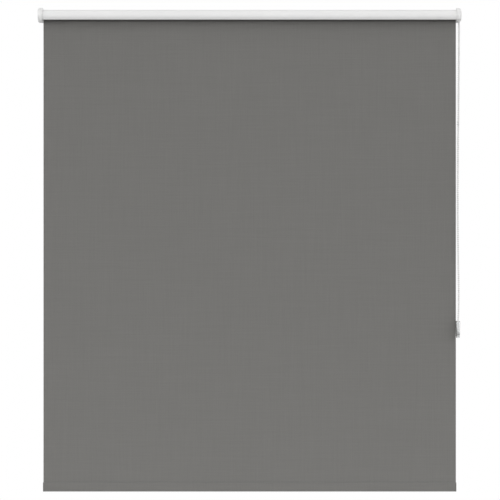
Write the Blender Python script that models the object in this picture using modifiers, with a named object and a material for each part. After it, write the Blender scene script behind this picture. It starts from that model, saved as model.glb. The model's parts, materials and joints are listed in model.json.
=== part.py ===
"""Chain-operated roller blind in a small rounded cassette, shown fully lowered.

Metres, +Z up, +X to the right as seen from the room. The room is on the -Y side and the wall
is the plane Y = 0. The origin is the middle of the centre wall bracket's back face.
In this file a depth is a distance from the wall towards the room, so Y = -depth.
"""
from math import asin, cos, pi, radians, sin, sqrt

import bmesh
import bpy
from mathutils import Matrix, Vector

MM = 0.001
GAP = 0.3 * MM                    # clearance between neighbours that touch or slide

# Overall sizes
SPAN = 1268 * MM                  # between the inner faces of the two end caps
DROP = 1461 * MM                  # from the middle of the end caps down to the hem's lower edge

# Curtain and roller
SIDE_CLEARANCE = 1.0 * MM         # fabric edge to end cap
FABRIC_THICKNESS = 0.32 * MM
WRAPS_LEFT = 2                    # layers that stay on the tube when the blind is lowered
TUBE_RADIUS = 9.5 * MM
TUBE_WALL = 0.8 * MM
TUBE_END_CLEARANCE = 2.5 * MM     # end of the tube to the end cap
TAPE_THICKNESS = 0.2 * MM
TAPE_WIDTH = 7 * MM
HEM_HEIGHT = 31 * MM
HEM_WELD = 3 * MM                 # height of the welded strip above the hem's pocket
HEM_BAR_HEIGHT = 23 * MM
HEM_BAR_THICKNESS = 3.0 * MM
HEM_CAP_PROJECTION = 1.1 * MM
HEM_END_PLAY = 6 * MM             # end of the hem bar to the fabric's edge
HEM_TONGUE = 0.7                  # thickness of a hem plug's tongue, as a share of the bar's
HEM_TONGUE_HEIGHT = 0.8           # its height, as a share of the bar's
HEM_TONGUE_ROOT = 0.5 * MM        # how far the tongue runs into the plug's face
RAISED_HEM_TOP = -23.8 * MM       # top of the hem when fully raised, just under the end caps

# Cassette, brackets and end caps
CASSETTE_WALL = 1.2 * MM
ROLL_CLEARANCE = 0.8 * MM         # full roll to the inside of the cassette
BRACKET_SPACE = 7.4 * MM          # wall to the back of the cassette
LIP_ANGLE = radians(-45)          # where the cassette's front curve ends, from the horizontal
CAP_RIM = 3.8 * MM                # end cap beyond the cassette's curve
AXIS_DROP = 1.6 * MM              # roller axis below the middle of the end caps
CAP_WALL = 2.0 * MM
CAP_BACK = 0.5 * MM               # wall to the back of the end caps
CAP_CORNER = 7.0 * MM             # rounding of the back edges, seen from the side
DRIVE_DOME = 6.5 * MM             # rounding of the outer edge, drive side
IDLE_DOME = 4.0 * MM              # the same, idle side
BASE_THICKNESS = 2.5 * MM
STEEL = 1.2 * MM                  # sheet thickness of the wall brackets
BRACKET_WIDTH = 32 * MM
BRACKET_SPACING = 480 * MM

# Chain drive
BEAD_DIAMETER = 4.5 * MM
BEAD_PITCH = 6.0 * MM
SPROCKET_TEETH = 14
SPROCKET_WIDTH = 8.0 * MM
SPROCKET_FLANGE = 1.2 * MM
SPROCKET_PLAY = 0.4 * MM          # chain wheel to the spindle's boss
SPINDLE_RADIUS = 4.2 * MM
SOCKET_DEPTH = 2.2 * MM           # square socket for the spindle, in the drive cap
SPRING_WIRE = 0.9 * MM
IDLE_PIN_RADIUS = 3.0 * MM
IDLE_PIN_REACH = 5.0 * MM         # the pin's tip beyond the end cap's inner plate
PIN_CHAMFER = 0.8 * MM
COLLAR_PLAY = 0.4 * MM            # collars of the tube's inserts to the end caps
SCREW_SHANK = 1.3 * MM
SCREW_HEAD = 2.5 * MM
SCREW_HEAD_HEIGHT = 1.6 * MM
SCREW_HEAD_EDGE = 0.9 * MM        # straight part of the screw head's side
SCREW_LENGTH = 14 * MM
SCREW_POINT = 1.0 * MM
DOME_TOP = 0.6                    # flat top of a screw or rivet head, as a share of its radius

# Chain tensioner
WHEEL_PITCH_RADIUS = 7.0 * MM
TENSIONER_WIDTH = 12 * MM
TENSIONER_HEIGHT = 52 * MM
TENSIONER_WALL = 1.4 * MM
TENSIONER_INSET = 3.4 * MM        # the wheel sits this far in from the chain's plane
TENSIONER_BOTTOM = -989 * MM
TENSIONER_CORNER = 3 * MM
TENSIONER_EDGE = 1.2 * MM         # rounding of the outer edges
TENSIONER_CLEARANCE = 1.0 * MM    # beads to the inside, and hem to the back as the blind rises

# Worked-out sizes
INNER = SPAN / 2
FABRIC_HALF = INNER - SIDE_CLEARANCE
TUBE_HALF = INNER - TUBE_END_CLEARANCE
TAPE_INSIDE = TUBE_RADIUS + GAP
WRAP_INSIDE = TAPE_INSIDE + TAPE_THICKNESS + GAP
WRAP_RADIUS = WRAP_INSIDE + WRAPS_LEFT * FABRIC_THICKNESS
TRAVEL = DROP - HEM_HEIGHT + RAISED_HEM_TOP
FULL_ROLL = sqrt(WRAP_RADIUS ** 2 + FABRIC_THICKNESS * TRAVEL / pi)
CASSETTE_INSIDE = FULL_ROLL + ROLL_CLEARANCE
CASSETTE_RADIUS = CASSETTE_INSIDE + CASSETTE_WALL
SPROCKET_RADIUS = SPROCKET_TEETH * BEAD_PITCH / (2 * pi)
BEAD_RADIUS = BEAD_DIAMETER / 2
CAP_RADIUS = CASSETTE_RADIUS + CAP_RIM
AXIS_DEPTH = BRACKET_SPACE + CASSETTE_WALL + ROLL_CLEARANCE + FULL_ROLL
AXIS_HEIGHT = -AXIS_DROP
CASSETTE_TOP = AXIS_HEIGHT + CASSETTE_RADIUS
CASSETTE_LIP = AXIS_HEIGHT + CASSETTE_RADIUS * sin(LIP_ANGLE)
SHEET_DEPTH = AXIS_DEPTH - WRAP_RADIUS - GAP - FABRIC_THICKNESS / 2
HEM_BOTTOM = -DROP
HEM_TOP = HEM_BOTTOM + HEM_HEIGHT
POCKET_HALF = HEM_BAR_THICKNESS / 2 + 2 * GAP + FABRIC_THICKNESS
SPROCKET_START = INNER + BASE_THICKNESS + 3 * GAP
SPROCKET_END = SPROCKET_START + SPROCKET_WIDTH
CAP_THICKNESS = SPROCKET_END + SPROCKET_PLAY + SOCKET_DEPTH + CAP_WALL - INNER
CHAIN_X = SPROCKET_START + SPROCKET_WIDTH / 2
TENSIONER_X = CHAIN_X - TENSIONER_INSET
CHAIN_FRONT = AXIS_DEPTH + SPROCKET_RADIUS
CHAIN_BACK = AXIS_DEPTH - SPROCKET_RADIUS
CHAIN_JOINT = -16 * MM            # height where the free chain meets the part inside the cap
CHAIN_REACH = SPROCKET_RADIUS + BEAD_RADIUS + GAP
CHAIN_SLOT_TOP = GAP - sqrt((CAP_RADIUS - CAP_WALL) ** 2 - CHAIN_REACH ** 2)
TENSIONER_REACH = WHEEL_PITCH_RADIUS + BEAD_RADIUS + TENSIONER_CLEARANCE + TENSIONER_WALL
TENSIONER_DEPTH = SHEET_DEPTH + POCKET_HALF + TENSIONER_CLEARANCE + TENSIONER_REACH

ROUND = 48                        # segments of a turned piece
SMALL_ROUND = 24

# Local axes of the three kinds of part, as columns of a rotation
SIDE_PLANE = Matrix(((0, 0, -1), (-1, 0, 0), (0, 1, 0))).to_4x4()    # outline (depth, height)
FRONT_PLANE = Matrix(((1, 0, 0), (0, 0, -1), (0, 1, 0))).to_4x4()    # outline (x, height)
TURNED_ON_X = Matrix(((0, 0, 1), (0, -1, 0), (1, 0, 0))).to_4x4()    # profile (radius, x)

for old in list(bpy.data.objects):
    bpy.data.objects.remove(old)

parts = bpy.data.collections.new("roller_blind")
cutters = bpy.data.collections.new("cutters")
bpy.context.scene.collection.children.link(parts)
bpy.context.scene.collection.children.link(cutters)


def make_material(name, colour, roughness, metallic=0.0, transmission=0.0):
    """Principled material with one plain colour."""
    made = bpy.data.materials.new(name)
    made.use_nodes = True
    shader = made.node_tree.nodes["Principled BSDF"]
    shader.inputs["Base Color"].default_value = (*colour, 1)
    shader.inputs["Roughness"].default_value = roughness
    shader.inputs["Metallic"].default_value = metallic
    shader.inputs["Transmission Weight"].default_value = transmission
    return made


WHITE_METAL = make_material("white_lacquered_aluminium", (0.83, 0.83, 0.83), 0.35)
WHITE_PLASTIC = make_material("white_plastic", (0.86, 0.86, 0.85), 0.4)
GREY_FABRIC = make_material("grey_fabric", (0.168, 0.165, 0.158), 0.9)
BARE_METAL = make_material("bare_aluminium", (0.75, 0.75, 0.76), 0.35, 1.0)
ZINC_STEEL = make_material("zinc_steel", (0.62, 0.63, 0.64), 0.35, 1.0)
SPRING_STEEL = make_material("spring_steel", (0.45, 0.45, 0.46), 0.3, 1.0)
BLACK_PLASTIC = make_material("black_plastic", (0.03, 0.03, 0.03), 0.45)
GREY_PLASTIC = make_material("grey_plastic", (0.2, 0.2, 0.19), 0.5)
CLEAR_PLASTIC = make_material("clear_plastic", (0.85, 0.87, 0.87), 0.12, 0.0, 0.8)
TAPE = make_material("adhesive_tape", (0.8, 0.78, 0.7), 0.6)


def evaluated_mesh(item):
    """Mesh of an object with its modifiers or curve settings applied, seams welded."""
    bpy.context.view_layer.update()
    view = bpy.context.evaluated_depsgraph_get()
    mesh = bpy.data.meshes.new_from_object(item.evaluated_get(view))
    work = bmesh.new()
    work.from_mesh(mesh)
    bmesh.ops.remove_doubles(work, verts=work.verts, dist=0.001 * MM)
    work.to_mesh(mesh)
    work.free()
    return mesh


def as_mesh(curve_object, collection):
    """Replace a curve object by a mesh object of the same name and place."""
    name = curve_object.name
    material = curve_object.data.materials[0] if curve_object.data.materials else None
    mesh = evaluated_mesh(curve_object)
    place = curve_object.matrix_world.copy()
    bpy.data.objects.remove(curve_object)
    made = bpy.data.objects.new(name, mesh)
    made.matrix_world = place
    collection.objects.link(made)
    mesh.materials.clear()
    if material:
        mesh.materials.append(material)
    return made


def smooth(item, angle=35):
    """Shade a round piece smooth but keep its edges."""
    item.data.shade_smooth()
    item.data.set_sharp_from_angle(angle=radians(angle))
    return item


def extruded(name, loops, place, thickness, material=None, collection=None):
    """Flat outline with holes, extruded by its thickness about the plane at place."""
    curve = bpy.data.curves.new(name, "CURVE")
    curve.dimensions = "2D"
    curve.fill_mode = "BOTH"
    curve.extrude = thickness / 2
    for loop in loops:
        spline = curve.splines.new("POLY")
        spline.points.add(len(loop) - 1)
        for point, (u, v) in zip(spline.points, loop):
            point.co = (u, v, 0, 1)
        spline.use_cyclic_u = True
    if material:
        curve.materials.append(material)
    item = bpy.data.objects.new(name, curve)
    item.matrix_world = place
    home = collection or parts
    home.objects.link(item)
    return as_mesh(item, home)


def side_piece(name, loops, x_from, x_to, material=None, collection=None):
    """Outline drawn as (depth, height) and extruded along X."""
    place = Matrix.Translation(((x_from + x_to) / 2, 0, 0)) @ SIDE_PLANE
    return extruded(name, loops, place, abs(x_to - x_from), material, collection)


def front_piece(name, loops, depth_from, depth_to, material=None, collection=None):
    """Outline drawn as (x, height) and extruded along the depth."""
    place = Matrix.Translation((0, -(depth_from + depth_to) / 2, 0)) @ FRONT_PLANE
    return extruded(name, loops, place, abs(depth_to - depth_from), material, collection)


def turned(name, profile, centre, material=None, closed=True, steps=ROUND, plane=TURNED_ON_X,
           collection=None):
    """Profile of (radius, distance along the axis), turned about an axis through centre.

    The profile runs down its outer side. An open one starts and ends on the axis.
    """
    mesh = bpy.data.meshes.new(name)
    work = bmesh.new()
    corners = [work.verts.new((radius, 0, along)) for radius, along in profile]
    for first, second in zip(corners, corners[1:]):
        work.edges.new((first, second))
    if closed:
        work.edges.new((corners[-1], corners[0]))
    work.to_mesh(mesh)
    work.free()
    if material:
        mesh.materials.append(material)
    item = bpy.data.objects.new(name, mesh)
    item.matrix_world = Matrix.Translation(centre) @ plane
    (collection or parts).objects.link(item)
    screw = item.modifiers.new("turn", "SCREW")
    screw.steps = steps
    screw.render_steps = steps
    screw.use_merge_vertices = True
    screw.merge_threshold = 0.00001
    screw.use_smooth_shade = True
    return item


def cylinder_between(name, radius, start, end, material=None, steps=SMALL_ROUND, collection=None):
    """Plain cylinder from one point to another along X, Y or Z."""
    start = Vector(start)
    end = Vector(end)
    work = bmesh.new()
    bmesh.ops.create_cone(work, cap_ends=True, segments=steps, radius1=radius, radius2=radius,
                          depth=(end - start).length)
    mesh = bpy.data.meshes.new(name)
    work.to_mesh(mesh)
    work.free()
    if material:
        mesh.materials.append(material)
    item = bpy.data.objects.new(name, mesh)
    item.location = (start + end) / 2
    item.rotation_euler = (end - start).to_track_quat("Z", "Y").to_euler()
    (collection or parts).objects.link(item)
    return smooth(item)


def box_between(name, low, high, material=None, collection=None):
    """Box with two opposite corners given."""
    low = Vector(low)
    high = Vector(high)
    work = bmesh.new()
    bmesh.ops.create_cube(work, size=1)
    bmesh.ops.scale(work, vec=high - low, verts=work.verts)
    mesh = bpy.data.meshes.new(name)
    work.to_mesh(mesh)
    work.free()
    if material:
        mesh.materials.append(material)
    item = bpy.data.objects.new(name, mesh)
    item.location = (low + high) / 2
    (collection or parts).objects.link(item)
    return item


def boolean(item, tool, operation="DIFFERENCE"):
    """Cut or join a piece with a tool object, which the build leaves out."""
    for home in list(tool.users_collection):
        home.objects.unlink(tool)
    cutters.objects.link(tool)
    tool.hide_render = True
    tool.display_type = "WIRE"
    step = item.modifiers.new(operation.lower(), "BOOLEAN")
    step.operation = operation
    step.solver = "EXACT"
    step.object = tool
    return item


def arc(centre, radius, start, end, count):
    """Points along an arc, both ends included, angles in radians."""
    u, v = centre
    return [(u + radius * cos(start + (end - start) * step / count),
             v + radius * sin(start + (end - start) * step / count)) for step in range(count + 1)]


def circle(centre, radius, count=SMALL_ROUND):
    """Points round a full circle."""
    return arc(centre, radius, 0, 2 * pi, count)[:-1]


def rounded_box(low, high, radius, count=4):
    """Rectangle with round corners, counter-clockwise from the upper right."""
    (u0, v0), (u1, v1) = low, high
    return (arc((u1 - radius, v1 - radius), radius, 0, pi / 2, count)
            + arc((u0 + radius, v1 - radius), radius, pi / 2, pi, count)
            + arc((u0 + radius, v0 + radius), radius, pi, 1.5 * pi, count)
            + arc((u1 - radius, v0 + radius), radius, 1.5 * pi, 2 * pi, count))


def empty_at(name, point):
    """Empty that marks a joint's axis, for its moving pieces to hang on."""
    made = bpy.data.objects.new(name, None)
    made.location = point
    made.empty_display_size = 0.02
    parts.objects.link(made)
    return made


def attach(empty, *items):
    """Parent pieces to an empty without moving them."""
    bpy.context.view_layer.update()
    for item in items:
        place = item.matrix_world.copy()
        item.parent = empty
        item.matrix_parent_inverse = empty.matrix_world.inverted()
        item.matrix_world = place


def smooth_path(points, samples):
    """Points on a smooth curve through the given ones; samples lists the steps per stretch."""
    ends = [points[0] * 2 - points[1], *points, points[-1] * 2 - points[-2]]
    path = []
    for index, steps in enumerate(samples):
        a, b, c, d = ends[index:index + 4]
        for step in range(steps):
            t = step / steps
            path.append(0.5 * (2 * b + (c - a) * t + (2 * a - 5 * b + 4 * c - d) * t ** 2
                               + (3 * b - a - 3 * c + d) * t ** 3))
    path.append(points[-1])
    return path


def wire(name, path, radius, material, sides=2):
    """Round wire or cord along a path, its ends closed."""
    curve = bpy.data.curves.new(name, "CURVE")
    curve.dimensions = "3D"
    curve.bevel_depth = radius
    curve.bevel_resolution = sides
    curve.use_fill_caps = True
    spline = curve.splines.new("POLY")
    spline.points.add(len(path) - 1)
    for point, place in zip(spline.points, path):
        point.co = (*place, 1)
    curve.materials.append(material)
    item = bpy.data.objects.new(name, curve)
    parts.objects.link(item)
    return smooth(as_mesh(item, parts))


# ---------------------------------------------------------------- cassette and its brackets
HOOK_WALL = 1.2 * MM
HOOK_SLOT = 3.6 * MM              # depth of the two hook channels on the cassette's back
HOOK_TIP = 4.7 * MM               # height of a hook's down-turned edge
LOWER_HOOK = -2.0 * MM            # top of the lower hook
LIP_RADIUS = CASSETTE_WALL / 2
PORT_RADIUS = 2.4 * MM            # outside of a screw port
PORT_INSET = 2.3 * MM             # screw port inside the upper back corner
BACK_PORT_INSET = 2.0 * MM        # screw port on the back wall
BACK_PORT_HEIGHT = 1.0 * MM

port_top = (BRACKET_SPACE + CASSETTE_WALL + PORT_INSET, CASSETTE_TOP - CASSETTE_WALL - PORT_INSET)
port_back = (BRACKET_SPACE - BACK_PORT_INSET, BACK_PORT_HEIGHT)
SCREW_PLACES = (port_top, port_back)


def cassette_outline():
    """Section of the aluminium extrusion: back wall with two hooks, top wall, round front."""
    back = BRACKET_SPACE
    hook_back = back - HOOK_SLOT - HOOK_WALL
    inner_back = back + CASSETTE_WALL
    outline = [(back, CASSETTE_LIP), (inner_back, CASSETTE_LIP),
               (inner_back, CASSETTE_TOP - CASSETTE_WALL)]
    outline += arc((AXIS_DEPTH, AXIS_HEIGHT), CASSETTE_INSIDE, pi / 2, LIP_ANGLE, 30)
    lip = (AXIS_DEPTH + (CASSETTE_INSIDE + LIP_RADIUS) * cos(LIP_ANGLE),
           AXIS_HEIGHT + (CASSETTE_INSIDE + LIP_RADIUS) * sin(LIP_ANGLE))
    outline += arc(lip, LIP_RADIUS, LIP_ANGLE - pi, LIP_ANGLE, 6)[1:-1]
    outline += arc((AXIS_DEPTH, AXIS_HEIGHT), CASSETTE_RADIUS, LIP_ANGLE, pi / 2, 30)

    def hook(top):
        """Down-turned hook that stands off the back wall."""
        return [(hook_back, top), (hook_back, top - HOOK_TIP),
                (hook_back + HOOK_WALL, top - HOOK_TIP), (hook_back + HOOK_WALL, top - HOOK_WALL),
                (back, top - HOOK_WALL)]

    return outline + hook(CASSETTE_TOP) + [(back, LOWER_HOOK)] + hook(LOWER_HOOK)


def build_cassette():
    """Extruded profile with two screw ports for the end caps."""
    half = INNER - GAP
    profile = side_piece("cassette_profile", [cassette_outline()], -half, half, WHITE_METAL)
    for index, place in enumerate(SCREW_PLACES):
        port = side_piece(f"port_{index}", [circle(place, PORT_RADIUS, 16),
                                            circle(place, SCREW_SHANK + GAP, 12)], -half, half)
        boolean(profile, port, "UNION")
    for index, place in enumerate(SCREW_PLACES):
        bore = side_piece(f"port_bore_{index}", [circle(place, SCREW_SHANK + GAP, 12)],
                          -half - MM, half + MM)
        boolean(profile, bore)


BRACKET_FLANGE = CASSETTE_TOP - HOOK_TIP - GAP          # top of the bracket's flange
BRACKET_BOTTOM = -15.0 * MM
TAB_DEPTH = BRACKET_SPACE - HOOK_SLOT + 0.8 * MM
TAB_TOP = CASSETTE_TOP - HOOK_WALL - 0.5 * MM
PIVOT_HEIGHT = -12.2 * MM
WALL_HOLE = (11 * MM, 6.9 * MM)
WALL_HOLE_RADIUS = 2.2 * MM
LEVER_THICKNESS = 1.4 * MM
LEVER_CORNER = 1.5 * MM
LEVER_FRONT = BRACKET_SPACE - 1.7 * MM
LEVER_HUB = 4.4 * MM
LEVER_HALF_WIDTH = 3.2 * MM
LEVER_NOSE = LOWER_HOOK - HOOK_WALL - 0.8 * MM
LEVER_TAIL = -20.5 * MM
RIVET_RADIUS = 1.3 * MM
RIVET_HEAD = 2.4 * MM
RIVET_HEAD_HEIGHT = 0.8 * MM
RIVET_HEAD_EDGE = 0.3 * MM        # straight part of the rivet head's side


def build_bracket(side, x):
    """Wall bracket: J-shaped steel clip, swivel lever that locks the cassette, and its rivet."""
    outline = [(0, BRACKET_BOTTOM), (STEEL, BRACKET_BOTTOM), (STEEL, BRACKET_FLANGE - STEEL),
               (TAB_DEPTH + STEEL, BRACKET_FLANGE - STEEL), (TAB_DEPTH + STEEL, TAB_TOP),
               (TAB_DEPTH, TAB_TOP), (TAB_DEPTH, BRACKET_FLANGE), (0, BRACKET_FLANGE)]
    clip = side_piece(f"wall_bracket_{side}", [outline], x - BRACKET_WIDTH / 2,
                      x + BRACKET_WIDTH / 2, ZINC_STEEL)
    holes = [(x - WALL_HOLE[0], WALL_HOLE[1], WALL_HOLE_RADIUS),
             (x + WALL_HOLE[0], WALL_HOLE[1], WALL_HOLE_RADIUS),
             (x, PIVOT_HEIGHT, RIVET_RADIUS + GAP)]
    for index, (hole_x, height, radius) in enumerate(holes):
        drill = cylinder_between(f"bracket_hole_{side}_{index}", radius,
                                 (hole_x, MM, height), (hole_x, -STEEL - MM, height), steps=16)
        boolean(clip, drill)

    blade = rounded_box((x - LEVER_HALF_WIDTH, LEVER_TAIL), (x + LEVER_HALF_WIDTH, LEVER_NOSE),
                        LEVER_CORNER, 3)
    lever = front_piece(f"lock_lever_{side}", [blade], LEVER_FRONT - LEVER_THICKNESS, LEVER_FRONT,
                        WHITE_PLASTIC)
    hub_back = STEEL + GAP
    hub = cylinder_between(f"lever_hub_{side}", LEVER_HUB, (x, -hub_back, PIVOT_HEIGHT),
                           (x, -LEVER_FRONT, PIVOT_HEIGHT))
    boolean(lever, hub, "UNION")
    bore = cylinder_between(f"lever_bore_{side}", RIVET_RADIUS + GAP, (x, 0, PIVOT_HEIGHT),
                            (x, -BRACKET_SPACE, PIVOT_HEIGHT), steps=16)
    boolean(lever, bore)

    head_back = LEVER_FRONT + GAP
    head_front = head_back + RIVET_HEAD_HEIGHT
    turned(f"lever_rivet_{side}",
           [(0, head_front), (RIVET_HEAD * DOME_TOP, head_front),
            (RIVET_HEAD, head_back + RIVET_HEAD_EDGE), (RIVET_HEAD, head_back),
            (RIVET_RADIUS, head_back), (RIVET_RADIUS, GAP), (0, GAP)],
           (x, 0, PIVOT_HEIGHT), ZINC_STEEL, False, 16, FRONT_PLANE)
    pivot = empty_at(f"pivot_{side}", (x, -LEVER_FRONT, PIVOT_HEIGHT))
    attach(pivot, lever)


# ---------------------------------------------------------------- end caps
def cap_outline(inset=0.0):
    """D-shaped side outline of an end cap: flat back, half-round front."""
    radius = CAP_RADIUS - inset
    corner = CAP_CORNER - inset
    back = CAP_BACK + inset
    outline = arc((AXIS_DEPTH, 0), radius, -pi / 2, pi / 2, 24)
    outline += arc((back + corner, radius - corner), corner, pi / 2, pi, 4)
    outline += arc((back + corner, corner - radius), corner, pi, 1.5 * pi, 4)
    return outline


def round_edge(item, outer_x, width, segments):
    """Bevel the rim of a cap's or shell's outer face."""
    work = bmesh.new()
    work.from_mesh(item.data)
    bmesh.ops.dissolve_limit(work, angle_limit=radians(1), verts=work.verts, edges=work.edges)
    weight = work.edges.layers.float.new("bevel_weight_edge")
    place = item.matrix_world
    for edge in work.edges:
        on_face = all(abs((place @ vertex.co).x - outer_x) < 0.01 * MM for vertex in edge.verts)
        edge[weight] = 1.0 if on_face and edge.calc_face_angle(0) > radians(45) else 0.0
    work.to_mesh(item.data)
    work.free()
    bevel = item.modifiers.new("rounding", "BEVEL")
    bevel.limit_method = "WEIGHT"
    bevel.width = width
    bevel.segments = segments
    return item


def build_cover(name, side, dome):
    """Moulded outer cap: a domed shell, open towards the cassette."""
    outer = side * (INNER + CAP_THICKNESS)
    cover = side_piece(name, [cap_outline()], side * INNER, outer, WHITE_PLASTIC)
    round_edge(cover, outer, dome, 4)
    hollow_end = outer - side * CAP_WALL
    hollow = side_piece(f"{name}_hollow", [cap_outline(CAP_WALL)], side * (INNER - 2 * MM),
                        hollow_end)
    round_edge(hollow, hollow_end, max(dome - CAP_WALL, MM), 3)
    boolean(cover, hollow)
    return cover


def build_base(name, side, centre_hole):
    """Inner plate of an end cap, screwed to the cassette's end."""
    inset = CAP_WALL + GAP
    loops = [cap_outline(inset), circle((AXIS_DEPTH, AXIS_HEIGHT), centre_hole)]
    loops += [circle(place, SCREW_SHANK + GAP, 12) for place in SCREW_PLACES]
    side_piece(name, loops, side * INNER, side * (INNER + BASE_THICKNESS), WHITE_PLASTIC)


def build_cap_screws(side, label):
    """Two self-tapping screws that hold an end cap's base to the cassette."""
    under_head = INNER + BASE_THICKNESS + GAP
    head = under_head + SCREW_HEAD_HEIGHT
    shank_end = under_head - SCREW_LENGTH
    profile = [(0, head), (SCREW_HEAD * DOME_TOP, head),
               (SCREW_HEAD, under_head + SCREW_HEAD_EDGE), (SCREW_HEAD, under_head),
               (SCREW_SHANK, under_head), (SCREW_SHANK, shank_end), (0, shank_end - SCREW_POINT)]
    if side < 0:
        profile = [(radius, -along) for radius, along in reversed(profile)]
    for (depth, height), place in zip(SCREW_PLACES, ("top", "back")):
        turned(f"cap_screw_{label}_{place}", profile, (0, -depth, height), ZINC_STEEL, False, 16)


SQUARE = 2.9 * MM                 # half the width of the spindle's square end
BOSS_RADIUS = 7.5 * MM
WRAP_SPRING_LENGTH = 11 * MM
SLOT_HALF = BEAD_RADIUS + 0.8 * MM


def build_drive_cap():
    """Cover on the chain side: boss with a square socket, and two slots for the chain."""
    cover = build_cover("drive_cap_cover", 1, DRIVE_DOME)
    wall_inside = INNER + CAP_THICKNESS - CAP_WALL
    boss = cylinder_between("spindle_boss", BOSS_RADIUS,
                            (wall_inside - SOCKET_DEPTH, -AXIS_DEPTH, AXIS_HEIGHT),
                            (wall_inside + MM, -AXIS_DEPTH, AXIS_HEIGHT), steps=32)
    boolean(cover, boss, "UNION")
    reach = SQUARE + GAP
    socket = box_between("spindle_socket",
                         (wall_inside - 2 * SOCKET_DEPTH, -AXIS_DEPTH - reach,
                          AXIS_HEIGHT - reach),
                         (wall_inside, -AXIS_DEPTH + reach, AXIS_HEIGHT + reach))
    boolean(cover, socket)
    for name, depth in (("front", CHAIN_FRONT), ("back", CHAIN_BACK)):
        slot = box_between(f"chain_slot_{name}",
                           (CHAIN_X - SLOT_HALF, -depth - SLOT_HALF, -CAP_RADIUS - MM),
                           (CHAIN_X + SLOT_HALF, -depth + SLOT_HALF, CHAIN_SLOT_TOP))
        boolean(cover, slot)
    build_base("drive_cap_base", 1, HUB_RADIUS + 2 * GAP)


# ---------------------------------------------------------------- clutch and chain wheel
SPRING_MEAN = SPINDLE_RADIUS + GAP + SPRING_WIRE / 2
LEG_INSIDE = SPRING_MEAN + SPRING_WIRE / 2 + 0.5 * MM
LEG_OUTSIDE = LEG_INSIDE + 1.1 * MM
HUB_RADIUS = LEG_OUTSIDE + 0.6 * MM
ADAPTOR_BORE = LEG_OUTSIDE + GAP
PLUG_RADIUS = TUBE_RADIUS - TUBE_WALL - GAP
PLUG_DEPTH = 32 * MM                      # both tube inserts, measured from the end caps
COLLAR_FACE = INNER - COLLAR_PLAY
ADAPTOR_START = INNER - PLUG_DEPTH
CLUTCH_START = ADAPTOR_START + 4 * MM     # where the adaptor's inner bearing ends
LEG_START = CLUTCH_START + 4 * MM
LEG_LEVEL = 0.6 * MM                      # flat side of the half-round leg, above the axis
ROOM_LEVEL = -2.4 * MM                    # floor of the adaptor's room for the leg
FLANGE_SHARE = 0.6                        # flange beyond the pitch circle, in bead radii


def build_spindle():
    """Fixed clutch spindle with a square end held in the drive cap's socket."""
    start = ADAPTOR_START - 3 * MM            # the spindle's tip stands out of the adaptor
    shoulder = INNER + CAP_THICKNESS - CAP_WALL - SOCKET_DEPTH - GAP
    spindle = turned("clutch_spindle",
                     [(0, shoulder), (SPINDLE_RADIUS, shoulder), (SPINDLE_RADIUS, start + MM),
                      (SPINDLE_RADIUS - MM, start), (0, start)],
                     (0, -AXIS_DEPTH, AXIS_HEIGHT), BLACK_PLASTIC, False, 32)
    square = box_between("spindle_square",
                         (shoulder - MM, -AXIS_DEPTH - SQUARE, AXIS_HEIGHT - SQUARE),
                         (shoulder + SOCKET_DEPTH, -AXIS_DEPTH + SQUARE, AXIS_HEIGHT + SQUARE))
    return boolean(spindle, square, "UNION")


def helix(radius, start, end, turns, points_per_turn=12):
    """Points of a coil about the roller axis."""
    count = int(turns * points_per_turn)
    path = []
    for step in range(count + 1):
        angle = 2 * pi * turns * step / count
        path.append(Vector((start + (end - start) * step / count,
                            -AXIS_DEPTH + radius * cos(angle),
                            AXIS_HEIGHT + radius * sin(angle))))
    return path


def part_disc(radius, level, upper):
    """Part of a circle about the roller axis that lies above, or below, a level."""
    start = asin(level / radius)
    if upper:
        return arc((AXIS_DEPTH, AXIS_HEIGHT), radius, start, pi - start, 16)
    return arc((AXIS_DEPTH, AXIS_HEIGHT), radius, pi - start, 2 * pi + start, 16)


def build_chain_sprocket():
    """Chain wheel: pocketed groove between two flanges, hub, and a half-round driving leg."""
    left = SPROCKET_START
    right = left + SPROCKET_WIDTH
    flange = SPROCKET_RADIUS + BEAD_RADIUS * FLANGE_SHARE
    flange_edge = SPROCKET_FLANGE * 0.7
    groove = SPROCKET_RADIUS - BEAD_RADIUS - GAP
    bore = SPINDLE_RADIUS + GAP
    profile = [(flange, right), (flange, right - flange_edge),
               (groove, right - SPROCKET_FLANGE), (groove, left + SPROCKET_FLANGE),
               (flange, left + flange_edge), (flange, left), (HUB_RADIUS, left),
               (HUB_RADIUS, INNER), (LEG_OUTSIDE, INNER), (LEG_OUTSIDE, LEG_START),
               (LEG_INSIDE, LEG_START), (LEG_INSIDE, INNER), (bore, INNER), (bore, right)]
    wheel = turned("chain_sprocket", profile, (0, -AXIS_DEPTH, AXIS_HEIGHT), BLACK_PLASTIC)
    cut_away = side_piece("sprocket_leg_cut", [part_disc(LEG_OUTSIDE + MM, LEG_LEVEL, False)],
                          LEG_START - MM, INNER + GAP)
    return boolean(wheel, cut_away)


def build_adaptor():
    """Tube insert on the chain side: collar, bearing on the spindle and driving rib."""
    profile = [(TUBE_RADIUS, COLLAR_FACE), (TUBE_RADIUS, TUBE_HALF + GAP),
               (PLUG_RADIUS, TUBE_HALF + GAP), (PLUG_RADIUS, ADAPTOR_START),
               (SPINDLE_RADIUS + GAP, ADAPTOR_START), (SPINDLE_RADIUS + GAP, CLUTCH_START),
               (LEG_INSIDE, CLUTCH_START), (LEG_INSIDE, COLLAR_FACE)]
    adaptor = turned("drive_adaptor", profile, (0, -AXIS_DEPTH, AXIS_HEIGHT), WHITE_PLASTIC)
    room = side_piece("adaptor_room", [part_disc(ADAPTOR_BORE, ROOM_LEVEL, True)],
                      CLUTCH_START, INNER + MM)
    return boolean(adaptor, room)


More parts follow.
